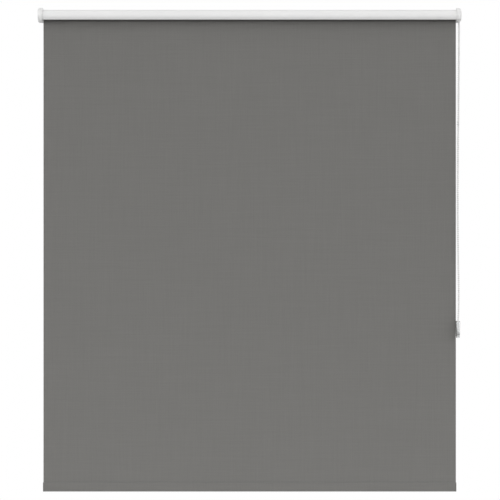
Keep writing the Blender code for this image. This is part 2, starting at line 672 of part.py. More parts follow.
# ---------------------------------------------------------------- idle end
PIN_HEAD_RADIUS = 4.6 * MM
PIN_HEAD = 2.5 * MM
CHAMBER_RADIUS = PIN_HEAD_RADIUS + GAP
CHAMBER_START = -(INNER - 12 * MM)
SEAT_THICKNESS = 2 * MM
IDLE_SPRING_WIRE = 0.7 * MM
BUSH_RADIUS = 5.0 * MM
BUSH_FLANGE = 7.0 * MM
BUSH_FLANGE_THICKNESS = 1.2 * MM


def build_idle_end():
    """Tube plug with its spring-loaded pin, the pin's spring and seat, and the bearing bush."""
    axis = (0, -AXIS_DEPTH, AXIS_HEIGHT)
    outer_face = -COLLAR_FACE
    inner_end = -(INNER - PLUG_DEPTH)
    bore = IDLE_PIN_RADIUS + GAP
    plug = turned("idle_plug",
                  [(PLUG_RADIUS, inner_end), (PLUG_RADIUS, -(TUBE_HALF + GAP)),
                   (TUBE_RADIUS, -(TUBE_HALF + GAP)), (TUBE_RADIUS, outer_face),
                   (bore, outer_face), (bore, CHAMBER_START), (CHAMBER_RADIUS, CHAMBER_START),
                   (CHAMBER_RADIUS, inner_end)], axis, WHITE_PLASTIC)

    pin_tip = -(INNER + BASE_THICKNESS + IDLE_PIN_REACH)
    head_start = CHAMBER_START + GAP
    head_end = head_start + PIN_HEAD
    pin = turned("idle_pin",
                 [(0, head_end), (PIN_HEAD_RADIUS, head_end), (PIN_HEAD_RADIUS, head_start),
                  (IDLE_PIN_RADIUS, head_start), (IDLE_PIN_RADIUS, pin_tip + PIN_CHAMFER),
                  (IDLE_PIN_RADIUS - PIN_CHAMFER, pin_tip), (0, pin_tip)],
                 axis, ZINC_STEEL, False, SMALL_ROUND)

    seat_start = inner_end - SEAT_THICKNESS - GAP
    seat = turned("spring_seat",
                  [(0, inner_end - GAP), (PIN_HEAD_RADIUS, inner_end - GAP),
                   (PIN_HEAD_RADIUS, seat_start), (0, seat_start)],
                  axis, WHITE_PLASTIC, False, SMALL_ROUND)

    wire_radius = IDLE_SPRING_WIRE / 2
    spring = wire("pin_spring",
                  helix(PIN_HEAD_RADIUS - 2 * GAP - wire_radius, head_end + GAP + wire_radius,
                        seat_start - GAP - wire_radius, 6, 10), wire_radius, SPRING_STEEL, 1)

    flange_in = -(INNER + BASE_THICKNESS + GAP)
    flange_out = flange_in - BUSH_FLANGE_THICKNESS
    turned("idle_bush",
           [(BUSH_RADIUS, -INNER), (BUSH_RADIUS, flange_in), (BUSH_FLANGE, flange_in),
            (BUSH_FLANGE, flange_out), (bore, flange_out), (bore, -INNER)],
           axis, BLACK_PLASTIC, True, SMALL_ROUND)
    return plug, pin, seat, spring


# ---------------------------------------------------------------- roller and curtain
def build_roller():
    """Tube, the adhesive strip on it and the fabric that stays wound round it."""
    axis = (0, -AXIS_DEPTH, AXIS_HEIGHT)

    def sleeve(name, inside, outside, half, material):
        return turned(name, [(outside, half), (outside, -half), (inside, -half), (inside, half)],
                      axis, material)

    tube = sleeve("roller_tube", TUBE_RADIUS - TUBE_WALL, TUBE_RADIUS, TUBE_HALF, BARE_METAL)
    wraps = sleeve("fabric_wraps", WRAP_INSIDE, WRAP_RADIUS, FABRIC_HALF, GREY_FABRIC)
    reach = TAPE_WIDTH / TAPE_INSIDE / 2
    strip = arc((AXIS_DEPTH, AXIS_HEIGHT), TAPE_INSIDE + TAPE_THICKNESS, -reach, reach, 6)
    strip += arc((AXIS_DEPTH, AXIS_HEIGHT), TAPE_INSIDE, reach, -reach, 6)
    tape = side_piece("tube_tape", [strip], -TUBE_HALF, TUBE_HALF, TAPE)
    return tube, wraps, tape


LENS_FULLNESS = 0.35              # 1 is a plain ellipse, less is boxier


def lens(half_thickness, low, high, flat_top):
    """Shallow convex section of the hem, with a narrow strip at its top."""
    middle = (low + high) / 2
    half_height = (high - low) / 2
    corner = [(cos(radians(angle)), sin(radians(angle))) for angle in range(-75, 90, 15)]
    front = [(SHEET_DEPTH + half_thickness * u ** LENS_FULLNESS, middle + half_height * v)
             for u, v in corner]
    back = [(2 * SHEET_DEPTH - depth, height) for depth, height in reversed(front)]
    foot = [(SHEET_DEPTH, low)]
    if not flat_top:
        return front + [(SHEET_DEPTH, high)] + back + foot
    strip = FABRIC_THICKNESS
    strip_top = HEM_TOP - 2 * GAP
    return front + [(SHEET_DEPTH + strip, high), (SHEET_DEPTH + strip, strip_top),
                    (SHEET_DEPTH - strip, strip_top), (SHEET_DEPTH - strip, high)] + back + foot


def build_curtain():
    """Hanging sheet, the hem pocket welded into its lower edge, its bar and two end plugs."""
    near = SHEET_DEPTH + FABRIC_THICKNESS / 2
    far = SHEET_DEPTH - FABRIC_THICKNESS / 2
    side_piece("fabric_sheet",
               [[(near, HEM_TOP), (near, AXIS_HEIGHT), (far, AXIS_HEIGHT), (far, HEM_TOP)]],
               -FABRIC_HALF, FABRIC_HALF, GREY_FABRIC)
    pocket_top = HEM_TOP - HEM_WELD
    inside_low = HEM_BOTTOM + FABRIC_THICKNESS
    inside_high = pocket_top - FABRIC_THICKNESS
    pocket = side_piece("hem_pocket",
                        [lens(POCKET_HALF, HEM_BOTTOM, pocket_top, True),
                         lens(POCKET_HALF - FABRIC_THICKNESS, inside_low, inside_high, False)],
                        -FABRIC_HALF, FABRIC_HALF, GREY_FABRIC)
    middle = (inside_low + inside_high) / 2
    bar_half = HEM_BAR_THICKNESS / 2
    bar_end = FABRIC_HALF - HEM_END_PLAY
    bar = side_piece("hem_bar",
                     [rounded_box((SHEET_DEPTH - bar_half, middle - HEM_BAR_HEIGHT / 2),
                                  (SHEET_DEPTH + bar_half, middle + HEM_BAR_HEIGHT / 2),
                                  bar_half * 0.95, 4)], -bar_end, bar_end, BARE_METAL)
    plugs = []
    for label, side in (("left", -1), ("right", 1)):
        face = FABRIC_HALF + GAP
        plug = side_piece(f"hem_cap_{label}", [lens(POCKET_HALF, HEM_BOTTOM, pocket_top, False)],
                          side * face, side * (face + HEM_CAP_PROJECTION), GREY_PLASTIC)
        near_x, far_x = sorted((side * (bar_end + GAP), side * (face + HEM_TONGUE_ROOT)))
        thick = HEM_BAR_THICKNESS * HEM_TONGUE / 2
        tall = HEM_BAR_HEIGHT * HEM_TONGUE_HEIGHT / 2
        tongue = box_between(f"hem_tongue_{label}", (near_x, -SHEET_DEPTH - thick, middle - tall),
                             (far_x, -SHEET_DEPTH + thick, middle + tall))
        boolean(plug, tongue, "UNION")
        plugs.append(plug)
    return pocket, bar, plugs


# ---------------------------------------------------------------- chain and tensioner
WHEEL_HEIGHT = TENSIONER_BOTTOM + TENSIONER_REACH
WHEEL_HALF_WIDTH = 3.3 * MM
WHEEL_RIM_EDGE = 0.4 * MM
WHEEL_RIM_SHARE = 0.3             # rim beyond the pitch circle, in bead radii
PIN_RADIUS = 1.5 * MM
MOUTH_CLEARANCE = 0.4 * MM
JOINER_HEIGHT = -330 * MM
JOINER_LENGTH = 12 * MM
JOINER_WALL = 0.8 * MM


def chain_route():
    """Free chain: down the front strand, round the tensioner's wheel and up the back strand.

    Each strand's points are (height, sideways drift, share of the way to the wheel's strand).
    """
    drift = [(CHAIN_JOINT, 0.0, 0.0), (-0.060, 0.0, 0.03), (-0.160, -0.6 * MM, 0.10),
             (-0.280, -1.6 * MM, 0.21), (-0.400, -2.8 * MM, 0.33), (-0.520, -3.6 * MM, 0.46),
             (-0.640, -3.5 * MM, 0.60), (-0.750, -2.4 * MM, 0.73), (-0.845, -1.0 * MM, 0.86),
             (-0.905, -1.5 * MM, 0.94), (-0.942, -2.8 * MM, 0.99)]
    wheel_front = TENSIONER_DEPTH + WHEEL_PITCH_RADIUS
    wheel_back = TENSIONER_DEPTH - WHEEL_PITCH_RADIUS
    front = []
    back = []
    for height, sideways, share in drift:
        x = CHAIN_X + sideways
        front.append(Vector((x, -(CHAIN_FRONT + (wheel_front - CHAIN_FRONT) * share), height)))
        back.append(Vector((x, -(CHAIN_BACK + (wheel_back - CHAIN_BACK) * share), height)))
    bend = []
    for step in range(9):
        angle = pi * step / 8
        bend.append(Vector((TENSIONER_X, -(TENSIONER_DEPTH + WHEEL_PITCH_RADIUS * cos(angle)),
                            WHEEL_HEIGHT - WHEEL_PITCH_RADIUS * sin(angle))))
    return front + bend + back[::-1]


def build_chain():
    """Bead chain as a plain tube: the free loop, and the part over the sprocket."""
    route = chain_route()
    strand = [3] * 9 + [2] * 2
    samples = strand + [2] * 8 + strand[::-1]
    wire("chain_loop", smooth_path(route, samples), BEAD_RADIUS, WHITE_PLASTIC)
    top = [Vector((CHAIN_X, -CHAIN_FRONT, CHAIN_JOINT + GAP))]
    for step in range(17):
        angle = pi * step / 16
        top.append(Vector((CHAIN_X, -(AXIS_DEPTH + SPROCKET_RADIUS * cos(angle)),
                           AXIS_HEIGHT + SPROCKET_RADIUS * sin(angle))))
    top.append(Vector((CHAIN_X, -CHAIN_BACK, CHAIN_JOINT + GAP)))
    wire("chain_over_sprocket", top, BEAD_RADIUS, WHITE_PLASTIC)

    back_strand = route[len(route) // 2:]
    under = max((point for point in back_strand if point.z <= JOINER_HEIGHT), key=lambda p: p.z)
    over = min((point for point in back_strand if point.z > JOINER_HEIGHT), key=lambda p: p.z)
    middle = under.lerp(over, (JOINER_HEIGHT - under.z) / (over.z - under.z))
    inside = BEAD_RADIUS + GAP
    outside = inside + JOINER_WALL
    turned("chain_joiner",
           [(outside, JOINER_LENGTH / 2), (outside, -JOINER_LENGTH / 2),
            (inside, -JOINER_LENGTH / 2), (inside, JOINER_LENGTH / 2)],
           middle, CLEAR_PLASTIC, True, 16, Matrix.Identity(4))


def tensioner_outline(inset):
    """Side outline of the tensioner: a half circle below and two small corners above."""
    reach = TENSIONER_REACH - inset
    top = TENSIONER_BOTTOM + TENSIONER_HEIGHT - inset
    corner = TENSIONER_CORNER
    outline = arc((TENSIONER_DEPTH, WHEEL_HEIGHT), reach, -pi, 0, 18)
    outline += arc((TENSIONER_DEPTH + reach - corner, top - corner), corner, 0, pi / 2, 4)
    outline += arc((TENSIONER_DEPTH - reach + corner, top - corner), corner, pi / 2, pi, 4)
    return outline


def build_tensioner():
    """Chain tensioner: two clear half shells, a wheel in them and the pin that joins them."""
    top = TENSIONER_BOTTOM + TENSIONER_HEIGHT
    for label, side in (("left", -1), ("right", 1)):
        face = TENSIONER_X + side * GAP / 2
        outer = TENSIONER_X + side * TENSIONER_WIDTH / 2
        shell = side_piece(f"tensioner_shell_{label}", [tensioner_outline(0)], face, outer,
                           CLEAR_PLASTIC)
        round_edge(shell, outer, TENSIONER_EDGE, 2)
        room = side_piece(f"tensioner_room_{label}", [tensioner_outline(TENSIONER_WALL)],
                          TENSIONER_X - side * MM, outer - side * TENSIONER_WALL)
        boolean(shell, room)
        strand_reach = WHEEL_PITCH_RADIUS + BEAD_RADIUS + MOUTH_CLEARANCE
        mouth = box_between(f"tensioner_mouth_{label}",
                            (TENSIONER_X - SLOT_HALF, -TENSIONER_DEPTH - strand_reach,
                             top - 3 * TENSIONER_WALL),
                            (TENSIONER_X + SLOT_HALF, -TENSIONER_DEPTH + strand_reach, top + MM))
        boolean(shell, mouth)
        bore = cylinder_between(f"tensioner_bore_{label}", PIN_RADIUS + GAP,
                                (TENSIONER_X, -TENSIONER_DEPTH, WHEEL_HEIGHT),
                                (outer + side * MM, -TENSIONER_DEPTH, WHEEL_HEIGHT), steps=16)
        boolean(shell, bore)
    rim = WHEEL_PITCH_RADIUS + BEAD_RADIUS * WHEEL_RIM_SHARE
    groove = WHEEL_PITCH_RADIUS - BEAD_RADIUS - GAP
    wheel = turned("tensioner_wheel",
                   [(rim, WHEEL_HALF_WIDTH), (rim, WHEEL_HALF_WIDTH - WHEEL_RIM_EDGE),
                    (groove, BEAD_RADIUS + GAP), (groove, -BEAD_RADIUS - GAP),
                    (rim, -WHEEL_HALF_WIDTH + WHEEL_RIM_EDGE), (rim, -WHEEL_HALF_WIDTH),
                    (PIN_RADIUS + GAP, -WHEEL_HALF_WIDTH), (PIN_RADIUS + GAP, WHEEL_HALF_WIDTH)],
                   (TENSIONER_X, -TENSIONER_DEPTH, WHEEL_HEIGHT), WHITE_PLASTIC, True, 32)
    end = TENSIONER_WIDTH / 2 - GAP
    turned("tensioner_pin", [(0, end), (PIN_RADIUS, end), (PIN_RADIUS, -end), (0, -end)],
           (TENSIONER_X, -TENSIONER_DEPTH, WHEEL_HEIGHT), ZINC_STEEL, False, 16)
    return wheel


# ---------------------------------------------------------------- assembly
build_cassette()
for bracket_side, bracket_x in (("left", -BRACKET_SPACING), ("centre", 0.0),
                                ("right", BRACKET_SPACING)):
    build_bracket(bracket_side, bracket_x)

build_drive_cap()
build_cover("idle_cap_cover", -1, IDLE_DOME)
build_base("idle_cap_base", -1, BUSH_RADIUS + GAP)
build_cap_screws(1, "drive")
build_cap_screws(-1, "idle")

build_spindle()
spring_start = LEG_START + SPRING_WIRE
wire("wrap_spring", helix(SPRING_MEAN, spring_start, spring_start + WRAP_SPRING_LENGTH, 8),
     SPRING_WIRE / 2, SPRING_STEEL, 1)
sprocket = build_chain_sprocket()
adaptor = build_adaptor()
idle_plug, idle_pin, spring_seat, pin_spring = build_idle_end()
roller_pieces = build_roller()
roller_axis = empty_at("roller_axis", (0, -AXIS_DEPTH, AXIS_HEIGHT))
attach(roller_axis, sprocket, adaptor, idle_plug, spring_seat, pin_spring, *roller_pieces)
pin_slide = empty_at("idle_pin_slide", (-INNER, -AXIS_DEPTH, AXIS_HEIGHT))
attach(pin_slide, idle_pin)

pocket, bar, plugs = build_curtain()
rail = empty_at("rail_lift", (0, -SHEET_DEPTH, HEM_TOP))
attach(rail, pocket, bar, *plugs)

build_chain()
wheel = build_tensioner()
wheel_axis = empty_at("wheel_axis", (TENSIONER_X, -TENSIONER_DEPTH, WHEEL_HEIGHT))
attach(wheel_axis, wheel)
bpy.context.view_layer.update()
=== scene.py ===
"""Looks of the chain-operated roller blind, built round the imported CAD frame.

Metres, +Z up, the room on the -Y side, the wall at Y = 0. A depth is a distance from the wall
towards the room, so Y = -depth. Places come from the frame; the few sizes that the frame can't
give are named here.
"""
import json
from math import cos, pi, radians, sin

import bmesh
import bpy
from mathutils import Matrix, Vector, noise


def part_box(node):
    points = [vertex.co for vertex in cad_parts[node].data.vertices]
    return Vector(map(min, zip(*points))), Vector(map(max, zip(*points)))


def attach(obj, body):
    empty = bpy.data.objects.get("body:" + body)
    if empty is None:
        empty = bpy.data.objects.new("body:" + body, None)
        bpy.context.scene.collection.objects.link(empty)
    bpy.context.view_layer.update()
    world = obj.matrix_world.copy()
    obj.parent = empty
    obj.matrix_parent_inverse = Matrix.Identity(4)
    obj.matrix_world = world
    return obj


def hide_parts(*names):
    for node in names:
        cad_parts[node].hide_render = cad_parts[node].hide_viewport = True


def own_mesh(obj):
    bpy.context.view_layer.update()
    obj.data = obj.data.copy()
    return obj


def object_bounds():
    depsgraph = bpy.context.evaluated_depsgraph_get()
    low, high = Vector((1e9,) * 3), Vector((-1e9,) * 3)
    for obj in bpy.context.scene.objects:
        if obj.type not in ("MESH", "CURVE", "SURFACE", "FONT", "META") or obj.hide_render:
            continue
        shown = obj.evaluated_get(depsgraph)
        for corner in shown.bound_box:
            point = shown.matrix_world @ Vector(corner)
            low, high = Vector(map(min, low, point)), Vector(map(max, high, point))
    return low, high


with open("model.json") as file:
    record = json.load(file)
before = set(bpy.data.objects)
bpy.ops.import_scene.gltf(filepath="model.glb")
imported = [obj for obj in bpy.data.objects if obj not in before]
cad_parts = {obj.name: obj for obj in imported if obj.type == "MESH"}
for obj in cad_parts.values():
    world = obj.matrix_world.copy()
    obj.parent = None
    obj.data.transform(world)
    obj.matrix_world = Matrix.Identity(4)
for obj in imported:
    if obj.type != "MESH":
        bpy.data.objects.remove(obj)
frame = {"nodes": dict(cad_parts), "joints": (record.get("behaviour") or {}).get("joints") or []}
cad_low, cad_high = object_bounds()

MM = 0.001
GAP = 0.3 * MM

# -------- places from the frame
joints = {joint["name"]: joint for joint in frame["joints"]}


def joint_place(name):
    """Depth and height of a hinge's axis, and its x."""
    x, y, z = joints[name]["pos_m"]
    return x, -y, z


AXIS_DEPTH, AXIS_HEIGHT = joint_place("roller_spin")[1:]
WHEEL_X, WHEEL_DEPTH, WHEEL_HEIGHT = joint_place("wheel_spin")

cassette_low, cassette_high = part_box("cassette_profile")
drive_low, drive_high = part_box("drive_cap_cover")
idle_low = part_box("idle_cap_cover")[0]
sheet_low, sheet_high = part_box("fabric_sheet")
hem_low, hem_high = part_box("hem_pocket")
plug_low, plug_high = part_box("hem_cap_right")
wraps_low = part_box("fabric_wraps")[0]
shell_low, shell_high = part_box("tensioner_shell_right")

INNER = drive_low.x  # inner face of the end caps
CASSETTE_RADIUS = cassette_high.z - AXIS_HEIGHT
CAP_RADIUS = drive_high.z
CAP_BACK = -drive_high.y
FABRIC_HALF = sheet_high.x
SHEET_DEPTH = -(sheet_low.y + sheet_high.y) / 2
FABRIC_THICKNESS = sheet_high.y - sheet_low.y
HEM_BOTTOM = hem_low.z
HEM_TOP = sheet_low.z
POCKET_HALF = (hem_high.y - hem_low.y) / 2

# -------- sizes the frame can't give
CASSETTE_WALL = 1.2 * MM
BRACKET_SPACE = 7.4 * MM
HOOK_SLOT = 3.6 * MM
HOOK_TIP = 4.7 * MM
LOWER_HOOK = -2.0 * MM
PORTS = ((10.9 * MM, 13.115 * MM), (5.4 * MM, 1.0 * MM))  # screw ports, (depth, height)
PORT_RADIUS = 2.4 * MM
PORT_BORE = 1.6 * MM
CAP_CORNER = 7.0 * MM
CAP_WALL = 2.0 * MM
BEAD_RADIUS = 2.25 * MM
BEAD_PITCH = 6.0 * MM
SPROCKET_TEETH = 14
SPROCKET_RADIUS = SPROCKET_TEETH * BEAD_PITCH / (2 * pi)
SPROCKET_START = 3.4 * MM  # from the inner face of the end cap
SPROCKET_WIDTH = 8.0 * MM
CHAIN_X = INNER + SPROCKET_START + SPROCKET_WIDTH / 2
CHAIN_FRONT = AXIS_DEPTH + SPROCKET_RADIUS
CHAIN_BACK = AXIS_DEPTH - SPROCKET_RADIUS
CHAIN_JOINT = -16 * MM
CHAIN_SLOT_TOP = -11.8 * MM
SLOT_HALF = BEAD_RADIUS + 0.8 * MM  # the chain's slots leave it this much play
WHEEL_PITCH_RADIUS = 7.0 * MM
HEM_WELD = 3 * MM

ROUND = 64

# Local axes, as columns of a rotation
SIDE_PLANE = Matrix(((0, 0, -1), (-1, 0, 0), (0, 1, 0))).to_4x4()  # outline (depth, height)
FRONT_PLANE = Matrix(((1, 0, 0), (0, 0, -1), (0, 1, 0))).to_4x4()  # outline (x, height)


# -------- mesh helpers
def new_object(name, data):
    """Object of a mesh, curve, light or camera, linked to the scene."""
    made = bpy.data.objects.new(name, data)
    bpy.context.scene.collection.objects.link(made)
    return made


def mesh_piece(name, points, faces):
    """Object from points and faces, its faces turned outwards."""
    mesh = bpy.data.meshes.new(name)
    mesh.from_pydata([tuple(point) for point in points], [], faces)
    work = bmesh.new()
    work.from_mesh(mesh)
    bmesh.ops.recalc_face_normals(work, faces=work.faces)
    work.to_mesh(mesh)
    work.free()
    return new_object(name, mesh)


def between_rings(first, second, count):
    """Faces between two rings, each given by the number of its first point."""
    return [(first + side, first + (side + 1) % count, second + (side + 1) % count, second + side)
            for side in range(count)]


def loft(name, rings, ends_meet=False):
    """Skin over closed rings of equal length; the ends are capped, or the last meets the first."""
    count = len(rings[0])
    points = [point for ring in rings for point in ring]
    starts = [row * count for row in range(len(rings))]
    faces = []
    for first, second in zip(starts, starts[1:]):
        faces += between_rings(first, second, count)
    if ends_meet:
        faces += between_rings(starts[-1], 0, count)
    else:
        faces += [tuple(range(start, start + count)) for start in (0, starts[-1])]
    return mesh_piece(name, points, faces)


def lathe(name, profile, centre, axis="x", steps=ROUND):
    """Closed profile of (radius, distance along the axis) turned about an axis through centre."""
    rings = []
    for step in range(steps):
        angle = 2 * pi * step / steps
        ring = []
        for radius, along in profile:
            u, v = radius * cos(angle), radius * sin(angle)
            offset = {"x": (along, u, v), "y": (u, -along, v), "z": (u, v, along)}[axis]
            ring.append(Vector(centre) + Vector(offset))
        rings.append(ring)
    item = loft(name, rings, ends_meet=True)
    weld(item)
    return item


def weld(item, distance=0.002 * MM):
    """Merge points that lie on each other, such as a lathe's on its axis."""
    work = bmesh.new()
    work.from_mesh(item.data)
    bmesh.ops.remove_doubles(work, verts=work.verts, dist=distance)
    bare = [edge for edge in work.edges if not edge.link_faces]
    bmesh.ops.delete(work, geom=bare, context="EDGES")
    bmesh.ops.recalc_face_normals(work, faces=work.faces)
    work.to_mesh(item.data)
    work.free()
    return item


def arc(centre, radius, start, end, count):
    """Points along an arc, both ends included, angles in radians."""
    u, v = centre
    return [(u + radius * cos(start + (end - start) * step / count),
             v + radius * sin(start + (end - start) * step / count)) for step in range(count + 1)]


def circle(centre, radius, count=32):
    """Points round a full circle."""
    return arc(centre, radius, 0, 2 * pi, count)[:-1]


def filleted(outline, radius, steps=3, least=25):
    """Outline with its sharp corners rounded, by less where an edge is too short."""
    made = []
    count = len(outline)
    for index, corner in enumerate(outline):
        here = Vector(corner)
        before = Vector(outline[index - 1]) - here
        after = Vector(outline[(index + 1) % count]) - here
        turn = pi - before.angle(after, pi)
        if turn < radians(least):
            made.append(tuple(here))
            continue
        reach = min(radius, 0.45 * before.length, 0.45 * after.length)
        start = here + before.normalized() * reach
        end = here + after.normalized() * reach
        for step in range(steps + 1):
            t = step / steps
            point = start * (1 - t) ** 2 + here * 2 * t * (1 - t) + end * t ** 2
            made.append(tuple(point))
    return made


def extruded(name, loops, place, thickness):
    """Flat outline with holes, extruded by its thickness about the plane at place."""
    curve = bpy.data.curves.new(name, "CURVE")
    curve.dimensions = "2D"
    curve.fill_mode = "BOTH"
    curve.extrude = thickness / 2
    for loop in loops:
        spline = curve.splines.new("POLY")
        spline.points.add(len(loop) - 1)
        for point, (u, v) in zip(spline.points, loop):
            point.co = (u, v, 0, 1)
        spline.use_cyclic_u = True
    item = new_object(name, curve)
    bpy.context.view_layer.update()
    mesh = bpy.data.meshes.new_from_object(item.evaluated_get(bpy.context.evaluated_depsgraph_get()))
    bpy.data.objects.remove(item)
    mesh.transform(place)
    return weld(new_object(name, mesh))


def side_piece(name, loops, x_from, x_to):
    """Outline drawn as (depth, height) and extruded along X."""
    place = Matrix.Translation(((x_from + x_to) / 2, 0, 0)) @ SIDE_PLANE
    return extruded(name, loops, place, abs(x_to - x_from))


def front_piece(name, loops, depth_from, depth_to):
    """Outline drawn as (x, height) and extruded along the depth."""
    place = Matrix.Translation((0, -(depth_from + depth_to) / 2, 0)) @ FRONT_PLANE
    return extruded(name, loops, place, abs(depth_to - depth_from))


def rounded_box(low, high, radius, count=6):
    """Rectangle with round corners."""
    (u0, v0), (u1, v1) = low, high
    return (arc((u1 - radius, v1 - radius), radius, 0, pi / 2, count)
            + arc((u0 + radius, v1 - radius), radius, pi / 2, pi, count)
            + arc((u0 + radius, v0 + radius), radius, pi, 1.5 * pi, count)
            + arc((u1 - radius, v0 + radius), radius, 1.5 * pi, 2 * pi, count))


def settle(item):
    """Apply an object's modifiers."""
    bpy.context.view_layer.update()
    view = bpy.context.evaluated_depsgraph_get()
    mesh = bpy.data.meshes.new_from_object(item.evaluated_get(view))
    item.modifiers.clear()
    item.data = mesh
    return item


def boolean(item, *tools, operation="DIFFERENCE"):
    """Cut a piece with tools, or join them to it, and delete the tools."""
    for tool in tools:
        step = item.modifiers.new("shape", "BOOLEAN")
        step.operation = operation
        step.solver = "EXACT"
        step.object = tool
    settle(item)
    for tool in tools:
        bpy.data.objects.remove(tool)
    return weld(item)


def bevel(item, width):
    """Round the sharp edges of a piece."""
    rounding = item.modifiers.new("rounding", "BEVEL")
    rounding.limit_method = "ANGLE"
    rounding.angle_limit = radians(35)
    rounding.width = width
    rounding.segments = 2
    return settle(item)


def finish_piece(item, body, material, replaced=(), crease=30):
    """Smooth shading, material, body and the CAD nodes that a piece stands for."""
    item.data.materials.clear()
    item.data.materials.append(material)
    item.data.shade_smooth()
    item.data.set_sharp_from_angle(angle=radians(crease))
    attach(item, body)
    if replaced:
        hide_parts(*replaced)
    return item


# -------- material helpers
def set_sockets(node, **values):
    """Set a node's inputs; a name's underscores stand for spaces."""
    for name, value in values.items():
        node.inputs[name.replace("_", " ")].default_value = value
    return node


class Surface:
    """A Principled material and short calls for its texture nodes."""

    def __init__(self, name, roughness, metallic=0.0, **sockets):
        self.material = bpy.data.materials.new(name)
        self.material.use_nodes = True
        self.tree = self.material.node_tree
        self.shader = set_sockets(self.tree.nodes["Principled BSDF"], Roughness=roughness,
                                  Metallic=metallic, **sockets)
        self.place = self.node("ShaderNodeTexCoord").outputs["Object"]

    def node(self, kind, **settings):
        """New node with some of its settings."""
        made = self.tree.nodes.new(kind)
        for key, value in settings.items():
            setattr(made, key, value)
        return made

    def link(self, source, target):
        """Join two sockets."""
        self.tree.links.new(source, target)

    def stretched(self, scale):
        """Object coordinates scaled per axis."""
        mapping = set_sockets(self.node("ShaderNodeMapping"), Scale=scale)
        self.link(self.place, mapping.inputs["Vector"])
        return mapping.outputs["Vector"]

    def noise(self, scale, detail=2.0, stretch=(1, 1, 1), roughness=0.5):
        """Noise value at a scale in features per metre."""
        made = set_sockets(self.node("ShaderNodeTexNoise"), Scale=scale, Detail=detail,
                           Roughness=roughness)
        self.link(self.stretched(stretch), made.inputs["Vector"])
        return made.outputs["Fac"]

    def math(self, operation, first, second=0.0, third=0.0):
        """Math node on sockets or numbers."""
        made = self.node("ShaderNodeMath", operation=operation)
        for socket, value in zip(made.inputs, (first, second, third)):
            if isinstance(value, (int, float)):
                socket.default_value = value
            else:
                self.link(value, socket)
        return made.outputs[0]

    def between(self, factor, low, high, first, second):
        """Colour that goes from first to second as the factor goes from low to high."""
        made = self.node("ShaderNodeValToRGB")
        made.color_ramp.elements[0].position = low
        made.color_ramp.elements[0].color = (*first, 1)
        made.color_ramp.elements[1].position = high
        made.color_ramp.elements[1].color = (*second, 1)
        self.link(factor, made.inputs["Fac"])
        return made.outputs["Color"]

    def colour(self, socket):
        """Set the base colour from a socket."""
        self.link(socket, self.shader.inputs["Base Color"])

    def roughness(self, factor, low, high):
        """Roughness that follows a factor between two values."""
        made = set_sockets(self.node("ShaderNodeMapRange"), To_Min=low, To_Max=high)
        self.link(factor, made.inputs["Value"])
        self.link(made.outputs["Result"], self.shader.inputs["Roughness"])

    def bump(self, height, distance, strength=1.0):
        """Add a bump of a height in metres, on top of those before it."""
        made = set_sockets(self.node("ShaderNodeBump"), Strength=strength, Distance=distance)
        self.link(height, made.inputs["Height"])
        before = self.shader.inputs["Normal"].links
        if before:
            self.link(before[0].from_socket, made.inputs["Normal"])
        self.link(made.outputs["Normal"], self.shader.inputs["Normal"])

    def waves(self, axis, pitch):
        """Sine of an object coordinate, from -1 to 1, with a pitch in metres."""
        split = self.node("ShaderNodeSeparateXYZ")
        self.link(self.place, split.inputs[0])
        return self.math("SINE", self.math("MULTIPLY", split.outputs[axis], 2 * pi / pitch))


def shades(colour, spread):
    """A colour made darker and lighter by a share."""
    return [tuple(channel * (1 + sign * spread) for channel in colour) for sign in (-1, 1)]


def lacquered_aluminium():
    """White powder coat with a fine orange peel."""
    surface = Surface("white_powder_coat", 0.5, Specular_IOR_Level=0.3)
    surface.colour(surface.between(surface.noise(14, 3, (0.3, 1, 1)), 0.35, 0.65,
                                   *shades((0.84, 0.84, 0.835), 0.01)))
    surface.roughness(surface.noise(60, 3), 0.46, 0.56)
    surface.bump(surface.noise(900, 2), 0.012 * MM)
    surface.bump(surface.noise(2600, 1), 0.004 * MM)
    return surface.material


def moulded_plastic(name, colour, roughness, grain=0.010 * MM):
    """Injection-moulded plastic: fine spark-eroded grain and faint flow marks."""
    surface = Surface(name, roughness)
    surface.colour(surface.between(surface.noise(55, 4, (1, 0.5, 0.5)), 0.3, 0.7,
                                   *shades(colour, 0.015)))
    surface.roughness(surface.noise(220, 3), roughness - 0.05, roughness + 0.06)
    surface.bump(surface.noise(3200, 2), grain)
    surface.bump(surface.noise(120, 2), grain * 1.5, 0.5)
    return surface.material


def metal(name, colour, roughness, stretch, spread, streak):
    """Bare metal with drawn or rolled streaks along one axis."""
    surface = Surface(name, roughness, 1.0)
    grain = surface.noise(1500, 3, stretch, 0.6)
    cloud = surface.noise(70, 4)
    surface.colour(surface.between(surface.math("MULTIPLY", grain, cloud), 0.1, 0.4,
                                   *shades(colour, spread)))
    surface.roughness(grain, roughness - 0.08, roughness + 0.12)
    surface.bump(grain, streak)
    return surface.material


def zinc_plated():
    """Bright zinc with its bluish passivation clouds and small spangle."""
    surface = Surface("zinc_plated_steel", 0.34, 1.0)
    cloud = surface.noise(160, 5)
    surface.colour(surface.between(cloud, 0.35, 0.65, (0.52, 0.54, 0.57), (0.66, 0.66, 0.63)))
    surface.roughness(surface.noise(500, 4), 0.26, 0.44)
    surface.bump(surface.noise(900, 4, (1, 1, 4)), 0.010 * MM)
    return surface.material


THREAD_PITCH = 0.8 * MM  # two threads, one over and one under
FABRIC_COLOUR = (0.167, 0.164, 0.156)
PRESSED_COLOUR = (0.150, 0.148, 0.141)
EDGE_BAND = 5 * MM  # width of the denser, heat-cut side edges
EDGE_SHADE = 0.94


